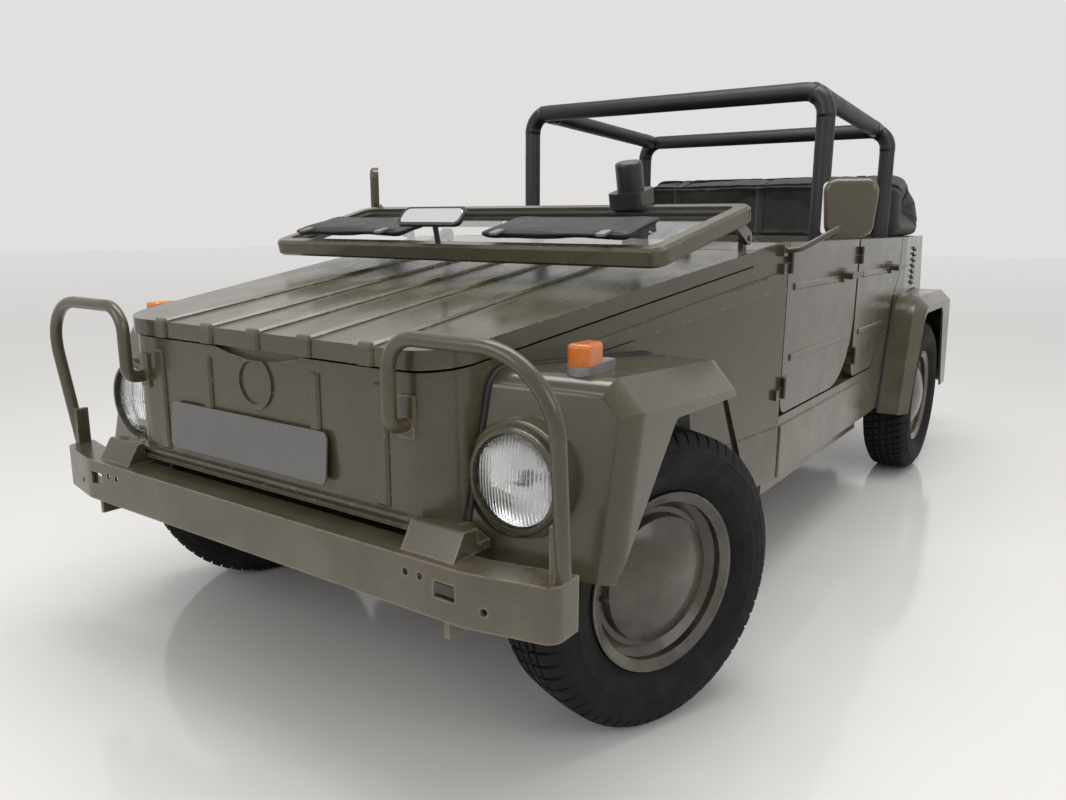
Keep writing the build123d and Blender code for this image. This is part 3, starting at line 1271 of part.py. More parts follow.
for side in (1, -1):
    y = side * KINGPIN_Y
    axle += rod((FRONT_AXLE_X, y, ARM_LOW_Z), (FRONT_AXLE_X, y, ARM_HIGH_Z), KINGPIN_RADIUS)
    tower_sides = (side * (HOUSE_FRONT_Y - TOWER_IN), side * (HOUSE_FRONT_Y + TOWER_OUT))
    axle += block(BEAM_X - TOWER_HALF, BEAM_X + TOWER_HALF, *tower_sides, ARM_LOW_Z, TUB_Z)
save("front_axle", axle)

BLOCK_LOW = ARM_LOW_Z + 20.0
BLOCK_HIGH = ARM_HIGH_Z - 20.0
BLOCK_HALF_X = 26.0
BLOCK_HALF_Y = 24.0
HUB_BOSS = 32.0
BRAKE_RADIUS = DRUM_RADIUS + 3.0
BRAKE_THICK = 6.0
BRAKE_IN = 35.0
SPINDLE_REACH = 44.0
LEVER_HALF = 9.0
LEVER_RISE = 14.0
LEVER_TALL = 20.0
BALL_RADIUS = 6.0
BALL_EYE = 14.0
EYE_HALF = 12.0
TRACK_ROD_RADIUS = 9.0
front_offset = FRONT_TRACK / 2 - KINGPIN_Y


def knuckle():
    """Left knuckle about its own kingpin, wheel straight ahead."""
    shape = block(-BLOCK_HALF_X, BLOCK_HALF_X, -BLOCK_HALF_Y, BLOCK_HALF_Y, BLOCK_LOW, BLOCK_HIGH)
    shape += rod((0, 0, HUB_Z), (0, front_offset + SPINDLE_REACH, HUB_Z), SPINDLE_RADIUS)
    plate_y = front_offset - BRAKE_IN
    shape += rod((0, 0, HUB_Z), (0, plate_y, HUB_Z), HUB_BOSS)
    shape += rod((0, plate_y, HUB_Z), (0, plate_y + BRAKE_THICK, HUB_Z), BRAKE_RADIUS)
    low = ROD_Z + LEVER_RISE
    shape += block(-STEER_ARM, 0, -LEVER_HALF, LEVER_HALF, low, low + LEVER_TALL)
    shape += rod((-STEER_ARM, 0, low), (-STEER_ARM, 0, low + LEVER_TALL), BALL_EYE)
    shape += rod((-STEER_ARM, 0, ROD_Z - LEVER_RISE), (-STEER_ARM, 0, low + 1), BALL_RADIUS)
    return shape - rod((0, 0, 0), (0, 0, BELT_Z), KINGPIN_RADIUS + RUNNING)


def steered(shape, side):
    return Pos(FRONT_AXLE_X, side * KINGPIN_Y, 0) * Rot(0, 0, -STEER_REST) * shape


save("knuckle_left", steered(knuckle(), 1))
save("knuckle_right", steered(flip(knuckle()), -1))

ball_x = FRONT_AXLE_X - STEER_ARM * cos(radians(STEER_REST))
ball_shift = STEER_ARM * sin(radians(STEER_REST))
rod_ends = [(ball_x, side * KINGPIN_Y + ball_shift, ROD_Z) for side in (-1, 1)]
track_rod = rod(*rod_ends, TRACK_ROD_RADIUS)
for x, y, z in rod_ends:
    track_rod += rod((x, y, z - EYE_HALF), (x, y, z + EYE_HALF), BALL_EYE)
    track_rod -= rod((x, y, z - BALL_EYE), (x, y, z + BALL_EYE), BALL_RADIUS + RUNNING)
save("track_rod", track_rod)

# Wheels and tyres: profiles of radius and place along the hub's axis, +Y outward
HUB_BACK = -24.0
CAP_TOP = 84.0
CAP_EDGE = 50.0
CAP_DEEP = 38.0
DRUM_DEEP = 16.0
RIM_SKIN = 6.0
WELL_RADIUS = SEAT_RADIUS - 20.0
WELL_BACK = -20.0
WELL_FRONT = 26.0
SEAT_START = 40.0
SEAT_END = 62.0
DISH_OUT = WELL_RADIUS - 5.0
DISH_IN = CAP_RADIUS + 5.0
DISH_DEEP = 31.0
bore = SPINDLE_RADIUS + RUNNING
rim_edge = FLANGE_RADIUS - RIM_SKIN
well_in = WELL_RADIUS - RIM_SKIN
seat_in = SEAT_RADIUS - RIM_SKIN
hub_front = CAP_TOP - CAP_DEEP
flange_in = FLANGE_HALF - RIM_SKIN
wheel_line = Polyline(
    (0, hub_front), (bore, hub_front), (bore, HUB_BACK),
    (DRUM_RADIUS, HUB_BACK), (DRUM_RADIUS, DRUM_DEEP), (well_in, DRUM_DEEP), (well_in, HUB_BACK),
    (seat_in, -SEAT_START), (seat_in, -SEAT_END), (rim_edge, -FLANGE_HALF), (FLANGE_RADIUS, -FLANGE_HALF),
    (FLANGE_RADIUS, -flange_in), (SEAT_RADIUS, -SEAT_END), (SEAT_RADIUS, -SEAT_START),
    (WELL_RADIUS, WELL_BACK), (WELL_RADIUS, WELL_FRONT),
    (SEAT_RADIUS, SEAT_START), (SEAT_RADIUS, SEAT_END), (FLANGE_RADIUS, flange_in),
    (FLANGE_RADIUS, FLANGE_HALF), (rim_edge, FLANGE_HALF), (seat_in, SEAT_END),
    (seat_in, SEAT_START + RIM_SKIN), (DISH_OUT, DISH_DEEP), (DISH_IN, DISH_DEEP), (CAP_RADIUS, CAP_EDGE),
)
cap_rise = CAP_TOP - CAP_EDGE
cap_sphere = (CAP_RADIUS ** 2 + cap_rise ** 2) / (2 * cap_rise)
cap_middle = CAP_TOP - cap_sphere + sqrt(cap_sphere ** 2 - (CAP_RADIUS / 2) ** 2)
cap_arc = ThreePointArc((CAP_RADIUS, CAP_EDGE), (CAP_RADIUS / 2, cap_middle), (0, CAP_TOP))
axis_line = Line((0, CAP_TOP), (0, hub_front))
wheel = revolve(make_face([wheel_line, cap_arc, axis_line]), Axis.Y)

TYRE_FOOT = 61.0
FOOT_RISE = 1.5
FOOT_OUT = 3.0
BULGE_RADIUS = 252.0
SHOULDER_DROP = 24.0
SHOULDER_IN = 12.0
EDGE_DROP = 9.0
EDGE_IN = 20.0
TREAD_HALF = 60.0
CROWN_DROP = 3.0
half_width = TYRE_WIDTH / 2
bead = SEAT_RADIUS + FIT
foot = (FLANGE_RADIUS + FOOT_RISE, TYRE_FOOT + FOOT_OUT)
shoulder = (TYRE_RADIUS - SHOULDER_DROP, half_width - SHOULDER_IN)
edge_spot = (TYRE_RADIUS - EDGE_DROP, half_width - EDGE_IN)
tread_end = (TYRE_RADIUS - CROWN_DROP, TREAD_HALF)
right = [
    Line((bead, TYRE_FOOT), foot),
    ThreePointArc(foot, (BULGE_RADIUS, half_width), shoulder),
    ThreePointArc(shoulder, edge_spot, tread_end),
]
left = [edge.mirror(Plane.XZ) for edge in right]
crown = ThreePointArc(tread_end, (TYRE_RADIUS, 0), (tread_end[0], -TREAD_HALF))
bead_line = Line((bead, TYRE_FOOT), (bead, -TYRE_FOOT))
tyre = revolve(make_face(right + left + [crown, bead_line]), Axis.Y)

for side, name in ((1, "left"), (-1, "right")):
    for piece, shape in (("wheel", wheel), ("tyre", tyre)):
        front = Pos(0, front_offset, HUB_Z) * shape
        rear = Pos(REAR_AXLE_X, REAR_TRACK / 2, HUB_Z) * shape
        save(f"{piece}_front_{name}", steered(front if side > 0 else flip(front), side))
        save(f"{piece}_rear_{name}", rear if side > 0 else flip(rear))

# Rear axle, engine and exhaust
GEARBOX_HALF = 110.0
GEARBOX_LOW = 225.0
GEARBOX_BACK_X = REAR_AXLE_X - 130.0
GEARBOX_ROUND = 35.0
AXLE_TUBE_RADIUS = 38.0
TUBE_END = HOUSE_REAR_Y - 35.0
BEARING_IN = 40.0
ENGINE_HALF = 300.0
ENGINE_LOW = 250.0
ENGINE_HIGH = 620.0
ENGINE_BACK_X = TAIL_PANEL_X + 190.0
SILENCER_X = TAIL_PANEL_X + 140.0
SILENCER_Z = 330.0
SILENCER_HALF = 280.0
SILENCER_RADIUS = 50.0
SILENCER_ROUND = 18.0
TAILPIPE_Y = 190.0
TAILPIPE_RADIUS = 19.0
TAILPIPE_SKIN = 3.0
TAILPIPE_END_X = TAIL_X + 25.0
gearbox = block(FLOOR_REAR_X, GEARBOX_BACK_X, -GEARBOX_HALF, GEARBOX_HALF, GEARBOX_LOW, TUNNEL_Z - FIT)
rear_axle = fillet(gearbox.edges().filter_by(Axis.X).group_by(Axis.Z)[0], GEARBOX_ROUND)


def axle_rod(y0, y1, radius):
    return rod((REAR_AXLE_X, y0, HUB_Z), (REAR_AXLE_X, y1, HUB_Z), radius)


shaft_end = REAR_TRACK / 2 + SPINDLE_REACH
rear_axle += axle_rod(-shaft_end, shaft_end, SPINDLE_RADIUS)
rear_axle += axle_rod(-TUBE_END, TUBE_END, AXLE_TUBE_RADIUS)
for side in (1, -1):
    plate_y = REAR_TRACK / 2 - BRAKE_IN
    rear_axle += axle_rod(side * TUBE_END, side * (REAR_TRACK / 2 - BEARING_IN), HUB_BOSS)
    rear_axle += axle_rod(side * plate_y, side * (plate_y + BRAKE_THICK), BRAKE_RADIUS)
save("rear_axle", rear_axle)
engine = block(ENGINE_BACK_X, GEARBOX_BACK_X, -ENGINE_HALF, ENGINE_HALF, ENGINE_LOW, ENGINE_HIGH)
save("engine_block", engine)
can_ends = [(SILENCER_X, side * SILENCER_HALF, SILENCER_Z) for side in (-1, 1)]
silencer = rod(*can_ends, SILENCER_RADIUS)
silencer = fillet(silencer.edges().filter_by(GeomType.CIRCLE), SILENCER_ROUND)
pipe_start = (SILENCER_X, TAILPIPE_Y, SILENCER_Z)
pipe_end = (TAILPIPE_END_X, TAILPIPE_Y, SILENCER_Z)
silencer += rod(pipe_start, pipe_end, TAILPIPE_RADIUS)
silencer -= rod((TAIL_PANEL_X, TAILPIPE_Y, SILENCER_Z), pipe_end, TAILPIPE_RADIUS - TAILPIPE_SKIN)
save("exhaust_silencer", silencer)

# Steering column and wheel
COLUMN_Y = SEAT_OUT - 195.0
RING_X = A_POST_X - 228.0
RING_Z = BELT_Z - 100.0
RING_RADIUS = 195.0
COLUMN_FALL = 0.62
column_length = (HOUSE_REAR_X - 2 * PANEL) - RING_X


def along_column(step):
    return (RING_X + step, COLUMN_Y, RING_Z - COLUMN_FALL * step)


ring_plane = Plane(origin=along_column(0), x_dir=(0, 1, 0), z_dir=(1, 0, -COLUMN_FALL))
SHAFT_RADIUS = 10.0
column = rod(along_column(36), along_column(column_length + 20), 20)
column -= block(HOUSE_REAR_X - 2 * PANEL, NOSE_X, -BODY_HALF, BODY_HALF, 0, BELT_Z)
column += rod(along_column(-4), along_column(40), SHAFT_RADIUS)
column -= cowl
save("steering_column", column)
ring_solid = ring_plane * Torus(RING_RADIUS, 12)
hub = extrude(ring_plane * Pos(0, 0, 2) * Circle(34), 30)
for angle in (0, 180):
    spoke = ring_plane * Rot(0, 0, angle) * Pos(RING_RADIUS / 2, 0, 10) * Box(RING_RADIUS, 26, 10)
    ring_solid += spoke
ring_solid += hub
ring_solid -= extrude(ring_plane * Pos(0, 0, -60) * Circle(SHAFT_RADIUS + RUNNING), 160)
save("steering_wheel", ring_solid)

# Driver's controls: gear lever, handbrake and pedals
LEVER_X = SEAT_FRONT_X + 70.0
LEVER_HIGH = 320.0
KNOB_RADIUS = 20.0
BRAKE_Y = 45.0
PEDAL_X = HOUSE_REAR_X - 100.0
PEDAL_PLACES = (TUNNEL_HALF + 120.0, TUNNEL_HALF + 230.0, TUNNEL_HALF + 340.0)
PEDAL_HIGH = 130.0
PEDAL_ARM_RADIUS = 8.0
PEDAL_LEAN = 35.0
PEDAL_THICK = 14.0
PEDAL_WIDE = 56.0
PEDAL_LONG = 66.0
knob = (LEVER_X - 90, 0, TUNNEL_Z + LEVER_HIGH)
gear_lever = tube([(LEVER_X, 0, TUNNEL_Z), (LEVER_X, 0, TUNNEL_Z + LEVER_HIGH / 3), knob], (60.0,), 7.0)
gear_lever += Pos(*knob) * Sphere(KNOB_RADIUS)
gear_lever += Pos(LEVER_X, 0, TUNNEL_Z + 25) * Cone(38.0, 12.0, 50.0)
handbrake = block(LEVER_X - 90, LEVER_X - 30, BRAKE_Y - 10, BRAKE_Y + 10, TUNNEL_Z, TUNNEL_Z + 45)
grip_start = (LEVER_X - 60, BRAKE_Y, TUNNEL_Z + 30)
grip_end = (LEVER_X - 250, BRAKE_Y, TUNNEL_Z + 105)
handbrake += rod(grip_start, grip_end, 9.0)
handbrake += rod((LEVER_X - 170, BRAKE_Y, TUNNEL_Z + 73.5), grip_end, 14.0)
pedals = []
for y in PEDAL_PLACES:
    pad = (PEDAL_X - 45, y, FLOOR_TOP_Z + PEDAL_HIGH)
    arm = rod((PEDAL_X, y, FLOOR_Z), pad, PEDAL_ARM_RADIUS)
    arm -= block(0, NOSE_X, -BODY_HALF, BODY_HALF, 0, FLOOR_TOP_Z)
    pedals.append(arm + Pos(*pad) * Rot(0, -PEDAL_LEAN, 0) * Box(PEDAL_THICK, PEDAL_WIDE, PEDAL_LONG))
save("driver_controls", gear_lever, handbrake, *pedals)

# Side mirrors on bent arms, each turned towards the driver
MIRROR_REACH = BODY_HALF + 214.0
HEAD_HALF = 73.0
HEAD_FOOT_HALF = 61.0
HEAD_TALL = 78.0
HEAD_THICK = 30.0
HEAD_CORNER = 34.0
ARM_RADIUS = 8.0
ARM_ROOT_X = A_POST_X + 40.0
CLAMP_HALF = 16.0
MIRRORS = (
    dict(side=1, x=A_POST_X - 36.0, z=BELT_Z + 94.0, turn=15.0),
    dict(side=-1, x=A_POST_X + 115.0, z=BELT_Z + 165.0, turn=45.0),
)


def side_mirror(x, z, turn):
    """Left-hand mirror with its head at x and z, as far out as MIRROR_REACH."""
    face = outline([
        (-HEAD_FOOT_HALF, -HEAD_TALL, HEAD_CORNER),
        (HEAD_FOOT_HALF, -HEAD_TALL, HEAD_CORNER),
        (HEAD_HALF, HEAD_TALL, HEAD_CORNER),
        (-HEAD_HALF, HEAD_TALL, HEAD_CORNER),
    ])
    back_plane = Plane(origin=(-HEAD_THICK / 2, 0, 0), x_dir=(0, 1, 0), z_dir=(1, 0, 0))
    head = extrude(back_plane * face, HEAD_THICK)
    head = Rot(0, 0, turn) * fillet(head.faces().sort_by(Axis.X)[-1].edges(), HEAD_THICK / 2)
    y = MIRROR_REACH - head.bounding_box().max.Y
    root = (ARM_ROOT_X, BODY_HALF - 20, BELT_Z - 22)
    bend = (ARM_ROOT_X, BODY_HALF + 45, BELT_Z - 16)
    arm = tube([root, bend, (x, y, z - HEAD_TALL / 2)], (30.0,), ARM_RADIUS)
    arm += block(ARM_ROOT_X - CLAMP_HALF, ARM_ROOT_X + CLAMP_HALF, BODY_HALF - WALL, BODY_HALF + 6,
                 BELT_Z - LID_THICK, BELT_Z - 6)
    return Pos(x, y, z) * head + (arm - outer_volume)


mirrors = []
for place in MIRRORS:
    made = side_mirror(place["x"], place["z"], place["turn"])
    mirrors.append(made if place["side"] > 0 else flip(made))
save("side_mirrors", *mirrors)
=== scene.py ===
import bmesh
import bpy
import json
from math import cos, exp, pi, radians, sin, sqrt
from mathutils import Matrix, Vector, noise
from mathutils.bvhtree import BVHTree


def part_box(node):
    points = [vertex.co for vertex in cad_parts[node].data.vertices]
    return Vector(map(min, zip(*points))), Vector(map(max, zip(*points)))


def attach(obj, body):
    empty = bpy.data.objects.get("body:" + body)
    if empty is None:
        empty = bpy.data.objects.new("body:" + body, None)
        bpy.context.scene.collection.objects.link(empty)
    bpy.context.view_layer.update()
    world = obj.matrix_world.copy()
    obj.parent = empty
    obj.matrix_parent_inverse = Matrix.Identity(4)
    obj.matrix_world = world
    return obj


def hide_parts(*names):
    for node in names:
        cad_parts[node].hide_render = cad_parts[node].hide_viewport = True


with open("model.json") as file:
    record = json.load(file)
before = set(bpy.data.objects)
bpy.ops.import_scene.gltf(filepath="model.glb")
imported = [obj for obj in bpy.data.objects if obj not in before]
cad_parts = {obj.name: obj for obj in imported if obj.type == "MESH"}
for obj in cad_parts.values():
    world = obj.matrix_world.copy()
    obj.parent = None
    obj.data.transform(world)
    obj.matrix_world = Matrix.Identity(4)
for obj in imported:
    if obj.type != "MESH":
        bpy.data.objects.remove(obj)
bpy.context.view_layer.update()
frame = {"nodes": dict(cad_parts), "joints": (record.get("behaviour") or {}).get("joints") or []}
nodes = frame["nodes"]
joints = {joint["name"]: joint for joint in frame["joints"]}

# Camera at the photo's place
CAMERA_AT = Vector((2.904, 1.453, 1.055))
YAW = radians(214.93)
PITCH = radians(-11.84)
ROLL = radians(0.25)
LENS = 28.455
SENSOR = 36.0


def photo_camera():
    ahead = Vector((cos(PITCH) * cos(YAW), cos(PITCH) * sin(YAW), sin(PITCH)))
    right = ahead.cross(Vector((0, 0, 1))).normalized()
    up = right.cross(ahead)
    side = right * cos(ROLL) + up * sin(ROLL)
    top = up * cos(ROLL) - right * sin(ROLL)
    data = bpy.data.cameras.new("camera")
    data.lens = LENS
    data.sensor_width = SENSOR
    camera = bpy.data.objects.new("camera", data)
    turn = Matrix((side, top, -ahead)).transposed().to_4x4()
    camera.matrix_world = Matrix.Translation(CAMERA_AT) @ turn
    bpy.context.collection.objects.link(camera)
    bpy.context.scene.camera = camera


photo_camera()


# Shader helpers
def add(tree, kind, inputs=(), **settings):
    """New shader node; inputs pairs a socket's name or number with a value or another socket."""
    node = tree.nodes.new("ShaderNode" + kind)
    for key, value in settings.items():
        setattr(node, key, value)
    for key, value in dict(inputs).items():
        if isinstance(value, bpy.types.NodeSocket):
            tree.links.new(value, node.inputs[key])
        else:
            node.inputs[key].default_value = value
    return node


def ramp(tree, factor, *stops):
    """Colour ramp of (place, grey or colour) stops."""
    node = add(tree, "ValToRGB", {"Fac": factor})
    elements = node.color_ramp.elements
    while len(elements) < len(stops):
        elements.new(0.5)
    for element, (place, colour) in zip(elements, stops):
        element.position = place
        element.color = (*colour, 1) if hasattr(colour, "__len__") else (colour, colour, colour, 1)
    return node.outputs["Color"]


def mixed(tree, factor, first, second):
    ends = [(*end, 1) if isinstance(end, tuple) else end for end in (first, second)]
    return add(tree, "Mix", {0: factor, 6: ends[0], 7: ends[1]}, data_type="RGBA").outputs[2]


def shaded(tree, tone, shade):
    """One colour multiplied by another."""
    return add(tree, "Mix", {0: 1.0, 6: tone, 7: shade}, data_type="RGBA", blend_type="MULTIPLY").outputs[2]


def maths(tree, kind, first, second):
    return add(tree, "Math", {0: first, 1: second}, operation=kind).outputs[0]


def places(tree, stretch=(1, 1, 1)):
    """Object coordinates, which are the frame's metres, scaled per axis."""
    spot = add(tree, "TexCoord").outputs["Object"]
    return add(tree, "Mapping", {"Vector": spot, "Scale": stretch}).outputs["Vector"]


def grain(tree, spot, scale, detail=4.0, rough=0.6):
    inputs = {"Vector": spot, "Scale": scale, "Detail": detail, "Roughness": rough}
    return add(tree, "TexNoise", inputs).outputs["Fac"]


def bump(tree, shader, height, depth, strength=1.0):
    """Adds a height in metres to the shader's normal, after any bump that is there."""
    node = add(tree, "Bump", {"Height": height, "Distance": depth, "Strength": strength})
    before = shader.inputs["Normal"].links
    if before:
        tree.links.new(before[0].from_socket, node.inputs["Normal"])
    tree.links.new(node.outputs["Normal"], shader.inputs["Normal"])


def material(name, **values):
    made = bpy.data.materials.new(name)
    made.use_nodes = True
    shader = made.node_tree.nodes["Principled BSDF"]
    for key, value in values.items():
        shader.inputs[key.replace("_", " ")].default_value = value
    return made, made.node_tree, shader


def colour(tree, shader, socket):
    tree.links.new(socket, shader.inputs["Base Color"])


def roughness(tree, shader, factor, low, high):
    tree.links.new(ramp(tree, factor, (0.25, low), (0.75, high)), shader.inputs["Roughness"])


# Materials
CHIP = (0.23, 0.175, 0.115)
DUST = (0.235, 0.21, 0.17)


def paint(name, dark, light, wear=0.5, dents=0.0, smooth=0.21):
    """Brushed vehicle paint: uneven tone, dust low down, chipped edges and a few scuffs."""
    made, tree, shader = material(name, Coat_Weight=0.30, Coat_Roughness=0.14)
    spot = places(tree)
    tone = mixed(tree, ramp(tree, grain(tree, spot, 2.3, 6), (0.32, 0.0), (0.70, 1.0)), dark, light)
    speck = ramp(tree, grain(tree, spot, 170, 3), (0.35, 0.88), (0.65, 1.06))
    tone = shaded(tree, tone, speck)
    height = add(tree, "SeparateXYZ", {"Vector": spot}).outputs["Z"]
    low = ramp(tree, height, (0.22, 0.5), (0.62, 0.0))
    dusty = maths(tree, "MULTIPLY", low, ramp(tree, grain(tree, spot, 5.5, 8), (0.40, 0.0), (0.72, 1.0)))
    tone = mixed(tree, dusty, tone, DUST)
    soft = add(tree, "Bevel", {"Radius": 0.007}, samples=4).outputs["Normal"]
    flat = add(tree, "NewGeometry").outputs["Normal"]
    bend = add(tree, "VectorMath", {0: soft, 1: flat}, operation="DOT_PRODUCT").outputs["Value"]
    edge = ramp(tree, bend, (0.90, 1.0), (0.985, 0.0))
    flake = ramp(tree, grain(tree, spot, 42, 8, 0.7), (0.62 - 0.14 * wear, 0.0), (0.70 - 0.14 * wear, 1.0))
    chip = maths(tree, "MULTIPLY", edge, flake)
    streak = grain(tree, places(tree, (1.0, 1.0, 2.6)), 26, 10, 0.75)
    scuff = ramp(tree, streak, (0.76 - 0.05 * wear, 0.0), (0.80, 1.0))
    bare = maths(tree, "MAXIMUM", chip, maths(tree, "MULTIPLY", scuff, 0.55 * wear))
    colour(tree, shader, mixed(tree, bare, tone, CHIP))
    roughness(tree, shader, grain(tree, spot, 9, 6), smooth - 0.05, smooth + 0.15)
    bump(tree, shader, grain(tree, spot, 240, 2), 0.0002, 0.30)
    bump(tree, shader, grain(tree, spot, 7, 2), 0.004, 0.10 + dents)
    bump(tree, shader, chip, -0.0004, 0.5)
    return made


def weave(name, dark, light, threads, rough, sheen=0.2):
    """Plain-woven cloth with faded folds."""
    made, tree, shader = material(name, Sheen_Weight=sheen, Sheen_Roughness=0.5)
    spot = places(tree)
    yarn = {"Vector": spot, "Scale": threads, "Distortion": 0.6}
    warp = add(tree, "TexWave", yarn, bands_direction="Y").outputs["Fac"]
    weft = add(tree, "TexWave", yarn, bands_direction="DIAGONAL").outputs["Fac"]
    thread = maths(tree, "MULTIPLY", warp, weft)
    fade = ramp(tree, grain(tree, spot, 7, 8), (0.3, 0.0), (0.75, 1.0))
    tone = mixed(tree, fade, dark, light)
    shade = ramp(tree, thread, (0.0, 0.62), (0.8, 1.1))
    colour(tree, shader, shaded(tree, tone, shade))
    roughness(tree, shader, grain(tree, spot, 30), rough - 0.08, rough + 0.08)
    bump(tree, shader, thread, 0.0006, 0.55)
    bump(tree, shader, grain(tree, spot, 26, 5), 0.004, 0.30)
    return made


def hide(name, dark, light, rough, cell):
    """Moulded or coated skin with a pebbled grain."""
    made, tree, shader = material(name)
    spot = places(tree)
    tone = mixed(tree, ramp(tree, grain(tree, spot, 11, 6), (0.3, 0.0), (0.7, 1.0)), dark, light)
    colour(tree, shader, tone)
    roughness(tree, shader, grain(tree, spot, 18), rough - 0.07, rough + 0.10)
    pebble = add(tree, "TexVoronoi", {"Vector": spot, "Scale": cell}, feature="SMOOTH_F1").outputs["Distance"]
    bump(tree, shader, pebble, 0.0006, 0.45)
    bump(tree, shader, grain(tree, spot, 24, 4), 0.002, 0.15)
    return made


def metal(name, dark, light, rough, rust=0.0):
    made, tree, shader = material(name, Metallic=0.9 if not rust else 0.55)
    spot = places(tree)
    tone = mixed(tree, ramp(tree, grain(tree, spot, 30, 6), (0.3, 0.0), (0.7, 1.0)), dark, light)
    stain = ramp(tree, grain(tree, spot, 12, 8, 0.7), (0.62 - 0.3 * rust, 0.0), (0.72 - 0.2 * rust, rust))
    colour(tree, shader, mixed(tree, stain, tone, (0.13, 0.062, 0.03)))
    roughness(tree, shader, grain(tree, spot, 50), rough - 0.08, rough + 0.15)
    bump(tree, shader, grain(tree, spot, 160, 4), 0.0005, 0.35)
    return made


def rubber():
    made, tree, shader = material("tyre_rubber", Specular_IOR_Level=0.28)
    spot = places(tree)
    worn = ramp(tree, grain(tree, spot, 13, 8), (0.45, 0.0), (0.78, 0.55))
    colour(tree, shader, mixed(tree, worn, (0.005, 0.005, 0.0055), (0.020, 0.019, 0.018)))
    roughness(tree, shader, grain(tree, spot, 40), 0.62, 0.85)
    bump(tree, shader, grain(tree, spot, 420, 3), 0.0004, 0.40)
    return made


def clear_glass(name, tint, smear):
    made, tree, shader = material(name, Transmission_Weight=1.0, IOR=1.45)
    spot = places(tree)
    haze = ramp(tree, grain(tree, spot, 5, 6), (0.4, 0.0), (0.8, 0.3))
    colour(tree, shader, mixed(tree, haze, tint, (0.86, 0.86, 0.83)))
    roughness(tree, shader, grain(tree, spot, 9, 7), 0.0, smear)
    return made


def lens_plastic(name, deep, bright, ribs):
    """Moulded lamp lens with fine ribs inside."""
    made, tree, shader = material(
        name, Transmission_Weight=0.35, IOR=1.49, Coat_Weight=0.4, Coat_Roughness=0.05)
    spot = places(tree)
    rib = add(tree, "TexWave", {"Vector": spot, "Scale": ribs}, bands_direction="Y").outputs["Fac"]
    tone = mixed(tree, ramp(tree, grain(tree, spot, 25, 4), (0.3, 0.0), (0.7, 1.0)), deep, bright)
    colour(tree, shader, tone)
    roughness(tree, shader, grain(tree, spot, 30), 0.10, 0.24)
    bump(tree, shader, rib, 0.0012, 0.5)
    return made


def mirror_face():
    made, tree, shader = material("mirror_glass", Metallic=1.0)
    spot = places(tree)
    colour(tree, shader, mixed(tree, grain(tree, spot, 8, 5), (0.80, 0.82, 0.83), (0.90, 0.91, 0.91)))
    roughness(tree, shader, grain(tree, spot, 14, 7), 0.0, 0.09)
    return made


def tail_lens():
    """Rear lamp in three colours, one above the other."""
    low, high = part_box("tail_lamps")
    made, tree, shader = material(
        "tail_lens", Transmission_Weight=0.3, IOR=1.49, Coat_Weight=0.5, Coat_Roughness=0.05)
    spot = places(tree)
    height = add(tree, "SeparateXYZ", {"Vector": spot}).outputs["Z"]
    share = add(tree, "MapRange", {0: height, 1: low.z, 2: high.z}).outputs[0]
    zones = ramp(tree, share, (0.0, (0.55, 0.02, 0.015)), (0.62, (0.55, 0.02, 0.015)),
                 (0.64, (0.02, 0.02, 0.02)), (0.66, (0.80, 0.24, 0.02)), (1.0, (0.80, 0.24, 0.02)))
    worn = ramp(tree, grain(tree, spot, 40, 5), (0.2, 0.8), (0.8, 1.05))
    colour(tree, shader, shaded(tree, zones, worn))
    rib = add(tree, "TexWave", {"Vector": spot, "Scale": 60.0}, bands_direction="Y").outputs["Fac"]
    roughness(tree, shader, grain(tree, spot, 30), 0.08, 0.22)
    bump(tree, shader, rib, 0.001, 0.5)
    return made


OLIVE_DARK = (0.050, 0.042, 0.024)
OLIVE_LIGHT = (0.077, 0.066, 0.039)
BODY = paint("olive_paint", OLIVE_DARK, OLIVE_LIGHT)
WORN = paint("olive_paint_worn", OLIVE_DARK, OLIVE_LIGHT, wear=1.7, smooth=0.27)
CAPS = paint("olive_paint_dented", (0.026, 0.020, 0.011), (0.043, 0.034, 0.020),
             wear=0.3, dents=1.1, smooth=0.20)
INSIDE = paint("olive_paint_inside", (0.040, 0.036, 0.025), (0.060, 0.055, 0.039), wear=0.4, smooth=0.38)
BLACK = paint("black_paint", (0.007, 0.007, 0.007), (0.016, 0.015, 0.014), wear=0.2, smooth=0.34)
UNDER = paint("underbody_paint", (0.020, 0.019, 0.017), (0.050, 0.046, 0.040), wear=0.3, smooth=0.55)
PLATE = paint("plate_paint", (0.100, 0.097, 0.094), (0.130, 0.126, 0.122), wear=0.2, smooth=0.30)
RUBBER = rubber()
SEAL = hide("seal_rubber", (0.010, 0.010, 0.010), (0.022, 0.022, 0.022), 0.55, 900)
SLEEVE = hide("cage_sleeve", (0.006, 0.006, 0.0062), (0.014, 0.014, 0.0145), 0.46, 520)
TAPE = hide("cloth_tape", (0.004, 0.004, 0.0045), (0.009, 0.009, 0.0095), 0.34, 700)
VINYL = hide("seat_vinyl", (0.008, 0.008, 0.008), (0.018, 0.0175, 0.0165), 0.46, 420)
CANVAS = weave("folded_canvas", (0.009, 0.009, 0.0078), (0.026, 0.025, 0.021), 320, 0.82)
WEBBING = weave("strap_webbing", (0.016, 0.016, 0.014), (0.040, 0.038, 0.032), 520, 0.75)
STEEL = metal("plated_steel", (0.30, 0.29, 0.27), (0.46, 0.45, 0.42), 0.36, 0.2)
CAST = metal("cast_metal", (0.16, 0.16, 0.155), (0.28, 0.275, 0.265), 0.52, 0.35)
EXHAUST = metal("sooty_steel", (0.075, 0.065, 0.055), (0.13, 0.11, 0.09), 0.62, 0.8)
BRIGHT = metal("lamp_reflector", (0.60, 0.61, 0.62), (0.74, 0.74, 0.74), 0.16)
